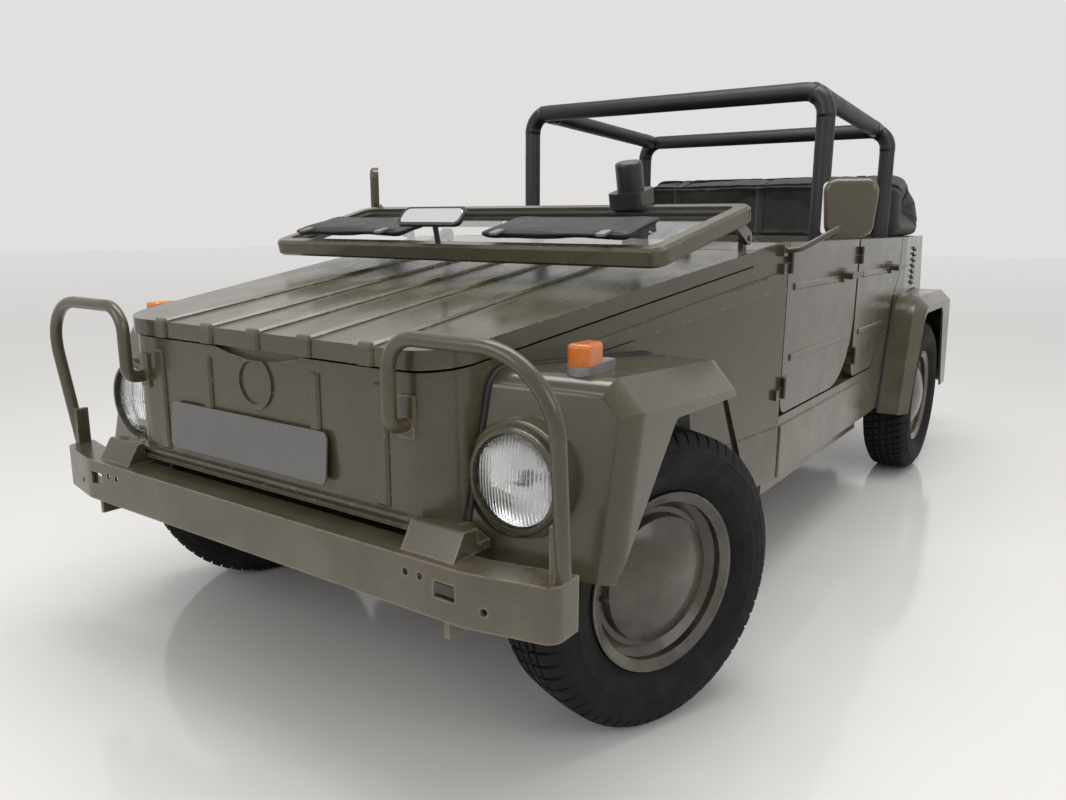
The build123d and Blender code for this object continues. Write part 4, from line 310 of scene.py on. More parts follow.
GLASS = clear_glass("screen_glass", (0.93, 0.96, 0.95), 0.012)
LAMP = clear_glass("lamp_glass", (0.97, 0.98, 0.98), 0.03)
ORANGE = lens_plastic("orange_lens", (0.75, 0.17, 0.008), (0.88, 0.27, 0.015), 110.0)
TAIL_LENS = tail_lens()
MIRROR = mirror_face()

SURFACES = {
    BODY: ("nose_panel", "cowl_side_left", "cowl_side_right", "cowl_and_dash", "sill_left", "sill_right",
           "rear_quarter_left", "rear_quarter_right", "fender_front_left", "fender_front_right",
           "fender_rear_left", "fender_rear_right", "headlamp_rims", "door_front_left", "door_front_right",
           "door_rear_left", "door_rear_right", "bonnet", "engine_lid", "windscreen_frame", "side_mirrors"),
    WORN: ("front_bumper", "rear_bumper", "bumper_guards"),
    CAPS: ("wheel_front_left", "wheel_front_right", "wheel_rear_left", "wheel_rear_right"),
    INSIDE: ("tail_body", "luggage_tub"),
    BLACK: ("steering_wheel", "steering_column", "driver_controls", "inside_mirror", "wiper_motor",
            "cage_front_hoop", "cage_rear_hoop", "cage_rails"),
    UNDER: ("floor_pan", "front_axle", "rear_axle", "track_rod", "knuckle_left", "knuckle_right"),
    CAST: ("engine_block", "indicator_bases"),
    EXHAUST: ("exhaust_silencer",),
    PLATE: ("number_plate",),
    GLASS: ("windscreen_glass",),
    ORANGE: ("indicators",),
    TAIL_LENS: ("tail_lamps",),
}
for surface, names in SURFACES.items():
    for name in names:
        nodes[name].data.materials.clear()
        nodes[name].data.materials.append(surface)

# Dark door handles and hinges
HANDLE_Z = 0.890
HANDLE_HALF = 0.028
HANDLE_Y = 0.677
HINGE_Y = 0.6725
HINGE_HALF = 0.014
HANDLE_PAINT = paint("handle_paint", (0.016, 0.013, 0.009), (0.030, 0.025, 0.018), wear=0.3, smooth=0.28)
HINGE_X = [joint["pos_m"][0] for name, joint in joints.items() if name.startswith("door")]


def is_fitting(node, spot):
    """True on a handle or a hinge barrel of the doors and posts."""
    hinge = abs(spot.y) > HINGE_Y and min(abs(spot.x - x) for x in HINGE_X) < HINGE_HALF
    handle = abs(spot.y) > HANDLE_Y and abs(spot.z - HANDLE_Z) < HANDLE_HALF
    return hinge or (node.startswith("door") and handle)


for name in [name for name in nodes if name.startswith(("door_", "cowl_side_", "sill_"))]:
    nodes[name].data.materials.append(HANDLE_PAINT)
    for face in nodes[name].data.polygons:
        face.material_index = int(is_fitting(name, face.center))


# Piece helpers
def place(name, mesh, surface, body, slot=None, matrix=None, smooth=True):
    """Object of a mesh with one material, riding on a body."""
    made = bpy.data.objects.new(name, mesh)
    bpy.context.scene.collection.objects.link(made)
    if not mesh.materials:
        mesh.materials.append(surface)
    if smooth:
        mesh.shade_smooth()
    if matrix is not None:
        made.matrix_world = matrix
    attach(made, body)
    return made


def mesh_of(name, points, faces):
    mesh = bpy.data.meshes.new(name)
    mesh.from_pydata([tuple(point) for point in points], [], faces)
    mesh.update()
    return mesh


def joined(name, parts):
    """One mesh from several (points, faces) parts."""
    points, faces = [], []
    for part_points, part_faces in parts:
        start = len(points)
        points += part_points
        faces += [[start + corner for corner in face] for face in part_faces]
    return mesh_of(name, points, faces)


def rounded_loop(corners, radius, steps=6):
    """Closed outline of (x, y) points with each corner rounded."""
    loop = []
    for before, here, after in zip(corners[-1:] + corners[:-1], corners, corners[1:] + corners[:1]):
        spot = Vector(here)
        back = (Vector(before) - spot).normalized()
        on = (Vector(after) - spot).normalized()
        half = back.angle(on) / 2
        reach = radius / max(0.01, sin(half) / cos(half))
        middle = spot + (back + on).normalized() * (radius / sin(half))
        first = spot + back * reach - middle
        last = spot + on * reach - middle
        for step in range(steps + 1):
            loop.append(middle + first.slerp(last, step / steps) * radius)
    return loop


def slab(loop, low, high, bevel=0.0):
    """(points, faces) of a plate between two heights, its upper edge bevelled inward."""
    count = len(loop)
    middle = sum(loop, Vector((0, 0))) / count
    rings = [(low, 0.0), (high - bevel, 0.0)] + ([(high, bevel)] if bevel else [])
    points = []
    for height, inset in rings:
        for spot in loop:
            inward = (middle - spot).normalized() * inset
            points.append((spot.x + inward.x, spot.y + inward.y, height))
    faces = [list(range(count))[::-1], list(range(count * (len(rings) - 1), count * len(rings)))]
    for ring in range(len(rings) - 1):
        for step in range(count):
            a, b = ring * count + step, ring * count + (step + 1) % count
            faces.append([a, b, b + count, a + count])
    return points, faces


def moved(part, matrix):
    return [tuple(matrix @ Vector(point)) for point in part[0]], part[1]


def spun(profile, steps):
    """(points, faces) of a profile of (radius, height) turned about Z; ends may lie on the axis."""
    points, faces = [], []
    for step in range(steps):
        angle = 2 * pi * step / steps
        points += [(radius * cos(angle), radius * sin(angle), height) for radius, height in profile]
    count = len(profile)
    for step in range(steps):
        here, there = step * count, (step + 1) % steps * count
        for row in range(count - 1):
            faces.append([here + row, there + row, there + row + 1, here + row + 1])
    return points, faces


def facing(spot, way):
    """Matrix that puts a shape's Z along a direction at a place."""
    return Matrix.Translation(spot) @ Vector(way).to_track_quat("Z", "Y").to_matrix().to_4x4()


def tube_part(path, radius, sides=12, shape=None):
    """(points, faces) of a tube along a path, its ends closed; shape(step, angle) scales the radius."""
    points, faces = [], []
    side = None
    for step, spot in enumerate(path):
        ahead = (path[min(step + 1, len(path) - 1)] - path[max(step - 1, 0)]).normalized()
        side = ahead.orthogonal() if side is None else side
        side = (side - ahead * side.dot(ahead)).normalized()
        other = ahead.cross(side)
        for turn in range(sides):
            angle = 2 * pi * turn / sides
            reach = radius * (shape(step, angle) if shape else 1.0)
            points.append(tuple(spot + (side * cos(angle) + other * sin(angle)) * reach))
    for step in range(len(path) - 1):
        for turn in range(sides):
            a, b = step * sides + turn, step * sides + (turn + 1) % sides
            faces.append([a, b, b + sides, a + sides])
    faces.append(list(range(sides))[::-1])
    faces.append(list(range(len(points) - sides, len(points))))
    return points, faces


def bent(points, corners, pitch=0.012):
    """Evenly spaced places along straight runs joined by arcs of the given radii."""
    spots = [Vector(point) for point in points]
    path = []
    start = spots[0]

    def run(begin, end):
        steps = max(1, int((end - begin).length / pitch))
        path.extend(begin.lerp(end, step / steps) for step in range(steps))

    for before, spot, after, corner in zip(spots, spots[1:], spots[2:], corners):
        back = (before - spot).normalized()
        on = (after - spot).normalized()
        half = back.angle(on) / 2
        reach = corner * cos(half) / sin(half)
        middle = spot + (back + on).normalized() * (corner / sin(half))
        first, last = spot + back * reach - middle, spot + on * reach - middle
        run(start, spot + back * reach)
        steps = max(6, int(corner * (pi - 2 * half) / pitch))
        path.extend(middle + first.slerp(last, step / steps) * corner for step in range(steps))
        start = spot + on * reach
    run(start, spots[-1])
    return path + [spots[-1]]


# Tyres with a road tread
TYRE_RADIUS = (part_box("tyre_rear_left")[1].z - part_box("tyre_rear_left")[0].z) / 2
TREAD_HALF = 0.066
GROOVES = (0.014, 0.040)
GROOVE_HALF = 0.0032
GROOVE_DEEP = 0.0075
GROOVE_EDGE = 0.001
PITCHES = 62
PITCH_STEPS = (0.0, 0.05, 0.17, 0.22, 0.42, 0.62, 0.82)
CUT_STEPS = (1, 2)
CHEVRON = radians(4.2)
SIDE_ROWS = (
    (0.186, 0.060, 0.0), (0.197, 0.0645, 0.0), (0.200, 0.0675, 0.0), (0.204, 0.0670, 0.0),
    (0.212, 0.0745, 0.0), (0.226, 0.0850, 0.0), (0.240, 0.0905, 0.0), (0.2455, 0.0924, 0.0),
    (0.2500, 0.0924, 0.0), (0.2535, 0.0905, 0.0), (0.268, 0.0905, 0.0), (0.281, 0.0885, 0.0),
    (0.2835, 0.0890, 0.0), (0.2865, 0.0860, 0.0), (0.294, 0.0825, 0.0025), (0.303, 0.0785, 0.0045),
    (0.311, 0.0735, 0.0065),
)


def tread_rows():
    """Rows of radius, place across and depth of the cross cuts, from the middle outward."""
    marks = [0.0]
    for groove in GROOVES:
        low, high = groove - GROOVE_HALF, groove + GROOVE_HALF
        marks += [low - GROOVE_EDGE, low, high, high + GROOVE_EDGE]
    marks += [0.052, 0.060, TREAD_HALF]
    rows = []
    for mark in marks:
        sunk = any(abs(mark - groove) <= GROOVE_HALF + 1e-6 for groove in GROOVES)
        crown = TYRE_RADIUS - 0.003 * (mark / 0.060) ** 2
        cut = 0.003 if mark < GROOVES[0] else GROOVE_DEEP
        rows.append((crown - (GROOVE_DEEP if sunk else 0.0), mark, 0.0 if sunk else cut))
    return rows


def tyre_mesh():
    half = tread_rows() + list(reversed(SIDE_ROWS))
    rows = [(radius, -across, cut) for radius, across, cut in reversed(half[1:])] + half
    columns = [(turn + share) / PITCHES for turn in range(PITCHES) for share in PITCH_STEPS]
    points, faces = [], []
    for number, column in enumerate(columns):
        in_cut = number % len(PITCH_STEPS) in CUT_STEPS
        for radius, across, cut in rows:
            slant = CHEVRON * min(1.0, abs(across) / TREAD_HALF)
            angle = 2 * pi * column + (slant if across > 0 else -slant)
            reach = radius - (cut if in_cut else 0.0)
            points.append((reach * cos(angle), across, reach * sin(angle)))
    count = len(rows)
    for number in range(len(columns)):
        here, there = number * count, (number + 1) % len(columns) * count
        for row in range(count - 1):
            faces.append([here + row, here + row + 1, there + row + 1, there + row])
    mesh = mesh_of("road_tyre", points, faces)
    mesh.materials.append(RUBBER)
    return mesh


def hub_matrix(corner):
    """Frame of a wheel's hub: Y points away from the car."""
    joint = joints[f"wheel_{corner}_spin"]
    outward = Vector(joint["axis"]) * (1 if "left" in corner else -1)
    turn = Vector((0, 1, 0)).rotation_difference(outward).to_matrix().to_4x4()
    return Matrix.Translation(joint["pos_m"]) @ turn


CORNERS = ("front_left", "front_right", "rear_left", "rear_right")
tyre_data = tyre_mesh()
VALVE_RADIUS = 0.165
VALVE_OUT = 0.046
valve = tube_part([Vector((VALVE_RADIUS, VALVE_OUT, 0)), Vector((VALVE_RADIUS - 0.004, VALVE_OUT + 0.012, 0)),
                   Vector((VALVE_RADIUS - 0.010, VALVE_OUT + 0.026, 0))], 0.0045, 10,
                  lambda step, angle: 1.25 if step == 0 else 1.0)
valve_data = mesh_of("tyre_valve", *valve)
for corner in CORNERS:
    body = f"wheel_{corner}"
    lie = hub_matrix(corner)
    tyre = place(f"road_tyre_{corner}", tyre_data, RUBBER, body, "tyre_rubber", lie, smooth=False)
    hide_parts(f"tyre_{corner}")
    place(f"tyre_valve_{corner}", valve_data, SEAL, body, "tyre_rubber", lie)

# Roll cage sleeves: foam tube with a glued seam, taped at the joints
CAGE_RADIUS = 0.029
SLEEVE_RADIUS = 0.0299
SLEEVE_SIDES = 28
FLANGE_WIDE = 0.040
CAGE_CORNER = 0.075
SLEEVE_START = 0.045
TAPE_HALF = 0.045


def sleeve_shape(seed):
    """Radius of a foam sleeve: a seam along it, soft lumps and small ring wrinkles."""
    def shape(step, angle):
        seam = 0.030 * exp(-((angle - 2.4) / 0.09) ** 2)
        lump = noise.noise(Vector((step * 0.06 + seed, cos(angle), sin(angle)))) * 0.014
        ring = noise.noise(Vector((step * 0.55, seed, 0.4))) * 0.008
        return 1.0 + seam + lump + ring
    return shape


def sleeve(name, path, seed):
    mesh = mesh_of(name, *tube_part(path, SLEEVE_RADIUS, SLEEVE_SIDES, sleeve_shape(seed)))
    made = place(name, mesh, SLEEVE, "body", "cage_padding")
    return made


def tape(path, start, end, sides=24):
    """(points, faces) of tape wound over a stretch of a path, with the windings' edges showing."""
    reach = SLEEVE_RADIUS * 1.028

    def winding(step, angle):
        return 1.0 + 0.012 * ((step + angle / 2 / pi) % 3.0 > 1.6)

    return tube_part(path[start:end], reach, sides, winding)


def hoop_path(node):
    low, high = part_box(node)
    x, half = (low.x + high.x) / 2, high.y - FLANGE_WIDE
    top, foot = high.z - CAGE_RADIUS, low.z + SLEEVE_START
    spots = [(x, half, foot), (x, half, top), (x, -half, top), (x, -half, foot)]
    return bent(spots, (CAGE_CORNER, CAGE_CORNER), 0.010)


windings = []
hoop_top = {}
for number, node in enumerate(("cage_front_hoop", "cage_rear_hoop")):
    path = hoop_path(node)
    sleeve(node + "_sleeve", path, 3.0 + number * 7)
    hoop_top[node] = path[len(path) // 2]
    bend = [step for step, spot in enumerate(path) if spot.z > hoop_top[node].z - CAGE_CORNER * 0.5]
    for edge in (bend[0], bend[-1]):
        windings.append(tape(path, edge - 5, edge + 5))
RAIL_IN = 0.045
for side, label in ((1, "left"), (-1, "right")):
    front_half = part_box("cage_front_hoop")[1].y - FLANGE_WIDE - RAIL_IN
    rear_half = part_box("cage_rear_hoop")[1].y - FLANGE_WIDE - RAIL_IN
    start = Vector((hoop_top["cage_front_hoop"].x, side * front_half, hoop_top["cage_front_hoop"].z))
    end = Vector((hoop_top["cage_rear_hoop"].x, side * rear_half, hoop_top["cage_rear_hoop"].z))
    along = (end - start).normalized() * (CAGE_RADIUS + 0.002)
    path = bent([start + along, end - along], (), 0.010)
    sleeve(f"cage_rail_{label}_sleeve", path, 21.0 + side)
    windings += [tape(path, 1, 8), tape(path, len(path) - 9, len(path) - 2)]
place("cage_tape", joined("cage_tape", windings), TAPE, "body", "cage_padding")


# Soft pads, swollen by cloth pressure
def apply_modifiers(made):
    graph = bpy.context.evaluated_depsgraph_get()
    mesh = bpy.data.meshes.new_from_object(made.evaluated_get(graph))
    made.modifiers.clear()
    made.data = mesh


def stuffed(name, size, rounding, crown, pull, voxel, cap):
    """Pad mesh about its own centre: x long, y wide, z thick; sides pull in between the corners."""
    half = Vector(size) / 2
    shape = bmesh.new()
    bmesh.ops.create_cube(shape, size=2)
    bmesh.ops.subdivide_edges(shape, edges=shape.edges[:], cuts=13, use_grid_fill=True)
    for vertex in shape.verts:
        spot = Vector([share * reach for share, reach in zip(vertex.co, half)])
        inner = [reach - rounding for reach in half]
        core = Vector([max(-reach, min(reach, value)) for value, reach in zip(spot, inner)])
        out = spot - core
        spot = core + (out.normalized() * rounding if out.length > 1e-6 else out)
        u, v = vertex.co.x, vertex.co.y
        spot.x *= 1 - pull * (1 - v * v)
        spot.y *= 1 - pull * (1 - u * u)
        if vertex.co.z > 0:
            spot.z += crown * (1 - u ** 4) * (1 - v ** 4) * vertex.co.z
        vertex.co = spot
    mesh = bpy.data.meshes.new(name)
    shape.to_mesh(mesh)
    shape.free()
    made = bpy.data.objects.new(name, mesh)
    bpy.context.scene.collection.objects.link(made)
    remesh = made.modifiers.new("remesh", "REMESH")
    remesh.mode = "VOXEL"
    remesh.voxel_size = voxel
    apply_modifiers(made)
    swell(made, cap)
    return made


def swell(made, cap):
    """Presses a closed cloth outward for a moment; no point moves further than the cap."""
    scene = bpy.context.scene
    before = [vertex.co.copy() for vertex in made.data.vertices]
    cloth = made.modifiers.new("cloth", "CLOTH")
    cloth.settings.use_pressure = True
    cloth.settings.uniform_pressure_force = 4.0
    cloth.settings.effector_weights.gravity = 0.0
    cloth.settings.quality = 4
    cloth.point_cache.frame_start = 1
    cloth.point_cache.frame_end = 16
    for step in range(1, 17):
        scene.frame_set(step)
    apply_modifiers(made)
    scene.frame_set(1)
    for vertex, start in zip(made.data.vertices, before):
        way = vertex.co - start
        if way.length > cap:
            vertex.co = start + way * (cap / way.length)


def sew(mesh, axis, lines, depth, width):
    """Presses sewn channels into a pad's upper side along the given lines of x or y."""
    normals = [vertex.normal.z for vertex in mesh.vertices]
    for vertex, up in zip(mesh.vertices, normals):
        if up > 0.25:
            near = min(abs(vertex.co[axis] - line) for line in lines)
            vertex.co.z -= depth * exp(-(near / width) ** 2)


def crease(mesh, seed, depth):
    """Small random sags, as on a used cover."""
    for vertex in mesh.vertices:
        vertex.co += vertex.normal * noise.noise(vertex.co * 9 + Vector((seed, 0, 0))) * depth


def welt(mesh, height, size, thick):
    """Piping round a pad at a height, laid on its real surface."""
    corners = [vertex.co for vertex in mesh.vertices]
    tree = BVHTree.FromPolygons(corners, [list(face.vertices) for face in mesh.polygons])
    half = Vector(size) / 2
    path = []
    for step in range(120):
        angle = 2 * pi * step / 120
        way = Vector((cos(angle) * half.x, sin(angle) * half.y, 0)).normalized()
        hit = tree.ray_cast(Vector((0, 0, height)) + way * 2.0, -way)[0]
        if hit is not None:
            path.append(hit)
    return tube_part(path + path[:2], thick, 8)


def cover(name, data, piping, matrix, body, slot):
    """Padded object of a swollen mesh with its piping, placed by a matrix."""
    made = place(name, data, VINYL, body, slot, matrix)
    made.modifiers.new("soften", "SUBSURF").render_levels = 1
    place(name + "_piping", piping, SEAL, body, slot, matrix)
    return made


def padded_mesh(name, size, rounding, crown, channels, voxel, cap, seed):
    """Swollen, sewn pad mesh and its piping mesh; channels pairs an axis with its sewn lines."""
    made = stuffed(name, size, rounding, crown, 0.012, voxel, cap)
    mesh = made.data
    bpy.data.objects.remove(made)
    axis, lines = channels
    if lines:
        sew(mesh, axis, lines, 0.010, 0.009)
    crease(mesh, seed, 0.004)
    mesh.update()
    mesh.materials.clear()
    mesh.materials.append(VINYL)
    piping = mesh_of(name + "_piping", *welt(mesh, size[2] * 0.22, size, 0.0042))
    return mesh, piping


SEAT_IN = 0.125
SEAT_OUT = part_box("front_seats")[1].y
SEAT_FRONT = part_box("front_seats")[1].x
SEAT_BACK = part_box("front_seats")[0].x
SEAT_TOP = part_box("front_seats")[1].z
SEAT_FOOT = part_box("front_seats")[0].z
HIP_HEIGHT = 0.540
CUSHION_THICK = 0.118
CUSHION_TILT = radians(-5.0)
BACK_TILT = radians(-9.0)
BACK_THICK = 0.076
BACK_HIGH = 0.440


def seat_lines(wide, spacing):
    count = int(wide / spacing)
    return [(step - (count - 1) / 2) * spacing for step in range(count)]


def upright(x, y, height):
    """Matrix of a backrest pad: its upper side faces the front of the car."""
    lean = Matrix.Rotation(BACK_TILT, 4, "Y") @ Matrix.Rotation(radians(90), 4, "Y")
    return Matrix.Translation((x, y, height)) @ lean


def seat_set(label, middles, wide, front, back, spacing, seed):
    """Cushion and backrest pads of one kind of seat, at each middle y."""
    deep = front - back - 0.155
    cushion = padded_mesh(f"{label}_cushion", (deep - 0.02, wide - 0.03, CUSHION_THICK - 0.02), 0.035, 0.012,
                          (1, seat_lines(wide - 0.08, spacing)), 0.010, 0.014, seed)
    rest = padded_mesh(f"{label}_backrest", (BACK_HIGH - 0.02, wide - 0.03, BACK_THICK - 0.02), 0.028, 0.010,
                       (1, seat_lines(wide - 0.08, spacing)), 0.010, 0.012, seed + 5)
    for number, middle in enumerate(middles):
        lie = Matrix.Translation((front - deep / 2 - 0.004, middle, HIP_HEIGHT - CUSHION_THICK / 2 - 0.012))
        lie = lie @ Matrix.Rotation(CUSHION_TILT, 4, "Y")
        cover(f"{label}_cushion_{number}", *cushion, lie, "body", "seat_cover")
        stand = upright(back + 0.098, middle, SEAT_TOP - BACK_HIGH / 2 - 0.008)
        made = cover(f"{label}_backrest_{number}", *rest, stand, "body", "seat_cover")
        if number == 0:
            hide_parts(label)


seat_middle = (SEAT_IN + SEAT_OUT) / 2
seat_set("front_seats", (seat_middle, -seat_middle), SEAT_OUT - SEAT_IN, SEAT_FRONT, SEAT_BACK, 0.062, 2.0)
bench_low, bench_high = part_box("rear_bench")
seat_set("rear_bench", (0.0,), bench_high.y - bench_low.y, bench_high.x, bench_low.x, 0.086, 12.0)


def seat_base(low_x, high_x, low_y, high_y, low_z, high_z):
    """(points, faces) of a pressed seat box that narrows upward."""
    loop = rounded_loop([(low_x, low_y), (high_x, low_y), (high_x, high_y), (low_x, high_y)], 0.02)
    points, faces = slab(loop, low_z, high_z, 0.012)
    middle = Vector(((low_x + high_x) / 2, (low_y + high_y) / 2))
    taper = 0.06 / (high_z - low_z)
    narrowed = []
    for x, y, z in points:
        share = taper * (z - low_z)
        narrowed.append((x + (middle.x - x) * share, y + (middle.y - y) * share, z))
    return narrowed, faces


def seat_frames():
    """Seat boxes, backrest shells and their tubes."""
    parts = []
    deck = HIP_HEIGHT - CUSHION_THICK - 0.022
    for side in (1, -1):
        low, high = sorted((side * (SEAT_IN + 0.02), side * (SEAT_OUT - 0.02)))
        parts.append(seat_base(SEAT_BACK + 0.07, SEAT_FRONT - 0.03, low, high, SEAT_FOOT, deck))
        low, high = sorted((side * 0.100, side * (bench_high.y - 0.01)))
        parts.append(seat_base(bench_low.x + 0.13, bench_high.x - 0.03, low, high, SEAT_FOOT, deck))
    rests = [(SEAT_BACK, SEAT_IN, SEAT_OUT), (SEAT_BACK, -SEAT_OUT, -SEAT_IN),
             (bench_low.x, bench_low.y, bench_high.y)]
    for back, low, high in rests:
        half = (high - low) / 2 - 0.02
        tall = BACK_HIGH / 2
        loop = rounded_loop([(-tall, -half), (tall, -half), (tall, half), (-tall, half)], 0.04)
        stand = upright(back + 0.098, (low + high) / 2, SEAT_TOP - BACK_HIGH / 2 - 0.008)
        parts.append(moved(slab(loop, -BACK_THICK / 2 - 0.012, -BACK_THICK / 2 + 0.004, 0.004), stand))
        for y in (low + 0.05, high - 0.05):
            foot = Vector((back + 0.150, y, deck - 0.02))
            head = stand @ Vector((0.10, y - (low + high) / 2, -BACK_THICK / 2 - 0.004))
            parts.append(tube_part(bent([foot, head], (), 0.05), 0.011))
    return joined("seat_frames", parts)


place("seat_frames", seat_frames(), BLACK, "body", "black_paint", smooth=False)

# Folded canvas, strapped down behind the seats
top_low, top_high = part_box("folded_top")
TOP_SECTION = ((0.05, 0.0), (0.0, 0.85), (0.25, 1.0), (0.757, 0.63), (1.0, 0.22), (1.0, 0.0))
TOP_STEPS = 120
FOLDS = 9
FOLD_DEEP = 0.020
END_TAPER = 0.075
STRAPS = (-0.42, 0.0, 0.42)
STRAP_HALF = 0.019
STRAP_OUT = 0.005
STRAP_IN = 0.0015


def top_outline():
    """Section of the folded bundle in (x, z), from the real size, evenly spaced."""
    wide, high = top_high.x - top_low.x, top_high.z - top_low.z
    corners = [(top_high.x - share * wide, top_low.z + rise * high) for share, rise in TOP_SECTION]
    loop = rounded_loop(corners, 0.022, 8)
    path = bent([(spot.x, 0, spot.y) for spot in loop + loop[:1]], [0.0001] * (len(loop) - 1), 0.009)
    return [Vector((spot.x, spot.z)) for spot in path[:-1]]


def bundle_ring(outline, y):
    """Places round the bundle at one y: soft rolls between creases, drawn in at the straps and ends."""
    middle = sum(outline, Vector((0, 0))) / len(outline)
    end = max(0.0, abs(y) - (top_high.y - END_TAPER)) / END_TAPER
    shrink = 1.0 - 0.30 * (1 - sqrt(max(0.0, 1 - end * end)))
    pinch = sum(exp(-((y - strap) / 0.035) ** 2) for strap in STRAPS)
    ring = []
    for step, spot in enumerate(outline):
        share = step / len(outline)
        sway = noise.noise(Vector((y * 2.1, share * 5, 1.7))) * 0.55
        sway += noise.noise(Vector((y * 7, share * 9, 4.1))) * 0.14
        roll = abs(sin(pi * (FOLDS * share + sway)))
        ripple = noise.noise(Vector((y * 23, share * 31, 8.0)))
        depth = FOLD_DEEP * (1 - roll ** 0.6) + 0.007 * pinch + 0.004 * ripple
        inward = middle - spot
        low = min(1.0, (spot.y - top_low.z) / 0.03)
        ring.append(middle - inward * shrink + inward.normalized() * max(0.0, depth) * low)
    return ring


def canvas_mesh():
    outline = top_outline()
    count = len(outline)
    points, faces = [], []
    for step in range(TOP_STEPS + 1):
        y = top_low.y + (top_high.y - top_low.y) * step / TOP_STEPS
        points += [(spot.x, y, spot.y) for spot in bundle_ring(outline, y)]
    for step in range(TOP_STEPS):
        for turn in range(count):
            a, b = step * count + turn, step * count + (turn + 1) % count
            faces.append([a, a + count, b + count, b])
    for start, side in ((0, 1), (TOP_STEPS * count, -1)):
        ring = list(range(start, start + count))
        for share, inset in ((0.72, 0.010), (0.40, 0.022), (0.14, 0.012)):
            base = [Vector(points[corner]) for corner in ring]
            middle = sum(base, Vector()) / count
            fresh = len(points)
            points += [tuple(middle.lerp(spot, share) + Vector((0, side * inset, 0))) for spot in base]
            for turn in range(count):
                a, b = ring[turn], ring[(turn + 1) % count]
                c, d = fresh + (turn + 1) % count, fresh + turn
                faces.append([a, b, c, d] if side > 0 else [b, a, d, c])
            ring = list(range(fresh, fresh + count))
        faces.append(ring if side > 0 else ring[::-1])
    return mesh_of("folded_canvas", points, faces)


canvas = place("folded_canvas", canvas_mesh(), CANVAS, "body", "canvas")
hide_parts("folded_top")


def strap_part(y):
    """(points, faces) of a flat strap pulled round the bundle."""
    outline = top_outline()
    ring = bundle_ring(outline, y)
    middle = sum(outline, Vector((0, 0))) / len(outline)
    count = len(ring)
    smooth = []
    for step in range(count):
        near = [ring[(step + shift) % count] for shift in range(-6, 7)]
        smooth.append(sum(near, Vector((0, 0))) / len(near))
    points, faces = [], []
    for spot in smooth:
        out = (spot - middle).normalized()
        for reach, half in ((STRAP_OUT, -STRAP_HALF), (STRAP_OUT, STRAP_HALF),
                            (STRAP_IN, STRAP_HALF), (STRAP_IN, -STRAP_HALF)):
            place_at = spot + out * reach
            points.append((place_at.x, y + half, max(place_at.y, top_low.z + 0.001)))
    for step in range(len(smooth)):
        here, there = step * 4, (step + 1) % len(smooth) * 4
        for side in range(4):
            faces.append([here + side, here + (side + 1) % 4, there + (side + 1) % 4, there + side])
    return points, faces


place("canvas_straps", joined("canvas_straps", [strap_part(y) for y in STRAPS]), WEBBING, "body", "canvas")

# Windscreen fittings: visors, mirror glass, gasket and wipers
SCREEN = Matrix.Translation((0.827, 0.0, 1.086)) @ Matrix.Rotation(radians(13.7), 4, "Y")
VISOR_SIZE = (0.172, 0.425, 0.020)
VISOR_AT = (0.344, 0.3425, 0.042)
visor_fill = (VISOR_SIZE[0] - 0.008, VISOR_SIZE[1] - 0.008, VISOR_SIZE[2] - 0.006)
visor, visor_welt = padded_mesh("visor", visor_fill, 0.006, 0.001,
                                (1, ()), 0.006, 0.004, 31.0)
clips = []
for side, label in ((1, "left"), (-1, "right")):
    spot = Vector((VISOR_AT[0], side * VISOR_AT[1], VISOR_AT[2]))
    lie = SCREEN @ Matrix.Translation(spot)
    made = cover(f"sun_visor_{label}", visor, visor_welt, lie, "windscreen", "cage_padding")
    if side > 0:
        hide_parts("sun_visors")
    for share in (-0.35, 0.35):
        loop = rounded_loop([(-0.014, -0.012), (0.026, -0.012), (0.026, 0.012), (-0.014, 0.012)], 0.006)
        lie = Matrix.Translation(spot + Vector((VISOR_SIZE[0] / 2 - 0.006, share * VISOR_SIZE[1], 0.010)))
        clips.append(moved(slab(loop, -0.003, 0.003, 0.001), SCREEN @ lie))
place("visor_clips", joined("visor_clips", clips), CAST, "windscreen", "bare_metal", smooth=False)

MIRROR_AT = SCREEN @ Matrix.Translation((0.430, 0, 0.080)) @ Matrix.Rotation(radians(32), 4, "Y")
loop = rounded_loop([(-0.024, -0.097), (0.024, -0.097), (0.024, 0.097), (-0.024, 0.097)], 0.016)
pane = moved(slab(loop, 0.014, 0.0175, 0.002), MIRROR_AT)
place("inside_mirror_glass", joined("inside_mirror_glass", [pane]), MIRROR,
      "windscreen", "bare_metal", smooth=False)

GASKET_Z = 0.004
corners = [(0.036, -0.644), (0.412, -0.602), (0.412, 0.602), (0.036, 0.644)]
loop = rounded_loop(corners, 0.03, 8)
ring = [SCREEN @ Vector((spot.x, spot.y, GASKET_Z)) for spot in loop]
gasket = mesh_of("screen_gasket", *tube_part(ring + ring[:2], 0.009, 10))
place("screen_gasket", gasket, SEAL, "windscreen", "black_paint")

wipers = []
for side in (1, -1):
    start = Vector((0.018, side * 0.340, -0.024))
    wipers.append(moved(spun([(0, -0.016), (0.011, -0.016), (0.014, -0.012), (0.014, 0.004), (0, 0.004)], 18),
                        SCREEN @ Matrix.Translation(start)))
    knee = start + Vector((0.050, -side * 0.020, -0.006))
    tip = start + Vector((0.085, -side * 0.150, 0.008))
    arm = (start + Vector((0, 0, -0.010)), knee, tip)
    wipers.append(tube_part([SCREEN @ spot for spot in arm], 0.0045, 8))
    loop = rounded_loop([(-0.004, -0.15), (0.004, -0.15), (0.004, 0.15), (-0.004, 0.15)], 0.003, 3)
    wipers.append(moved(slab(loop, -0.006, 0.012, 0.002), SCREEN @ Matrix.Translation(tip)))
place("wipers", joined("wipers", wipers), BLACK, "windscreen", "black_paint", smooth=False)

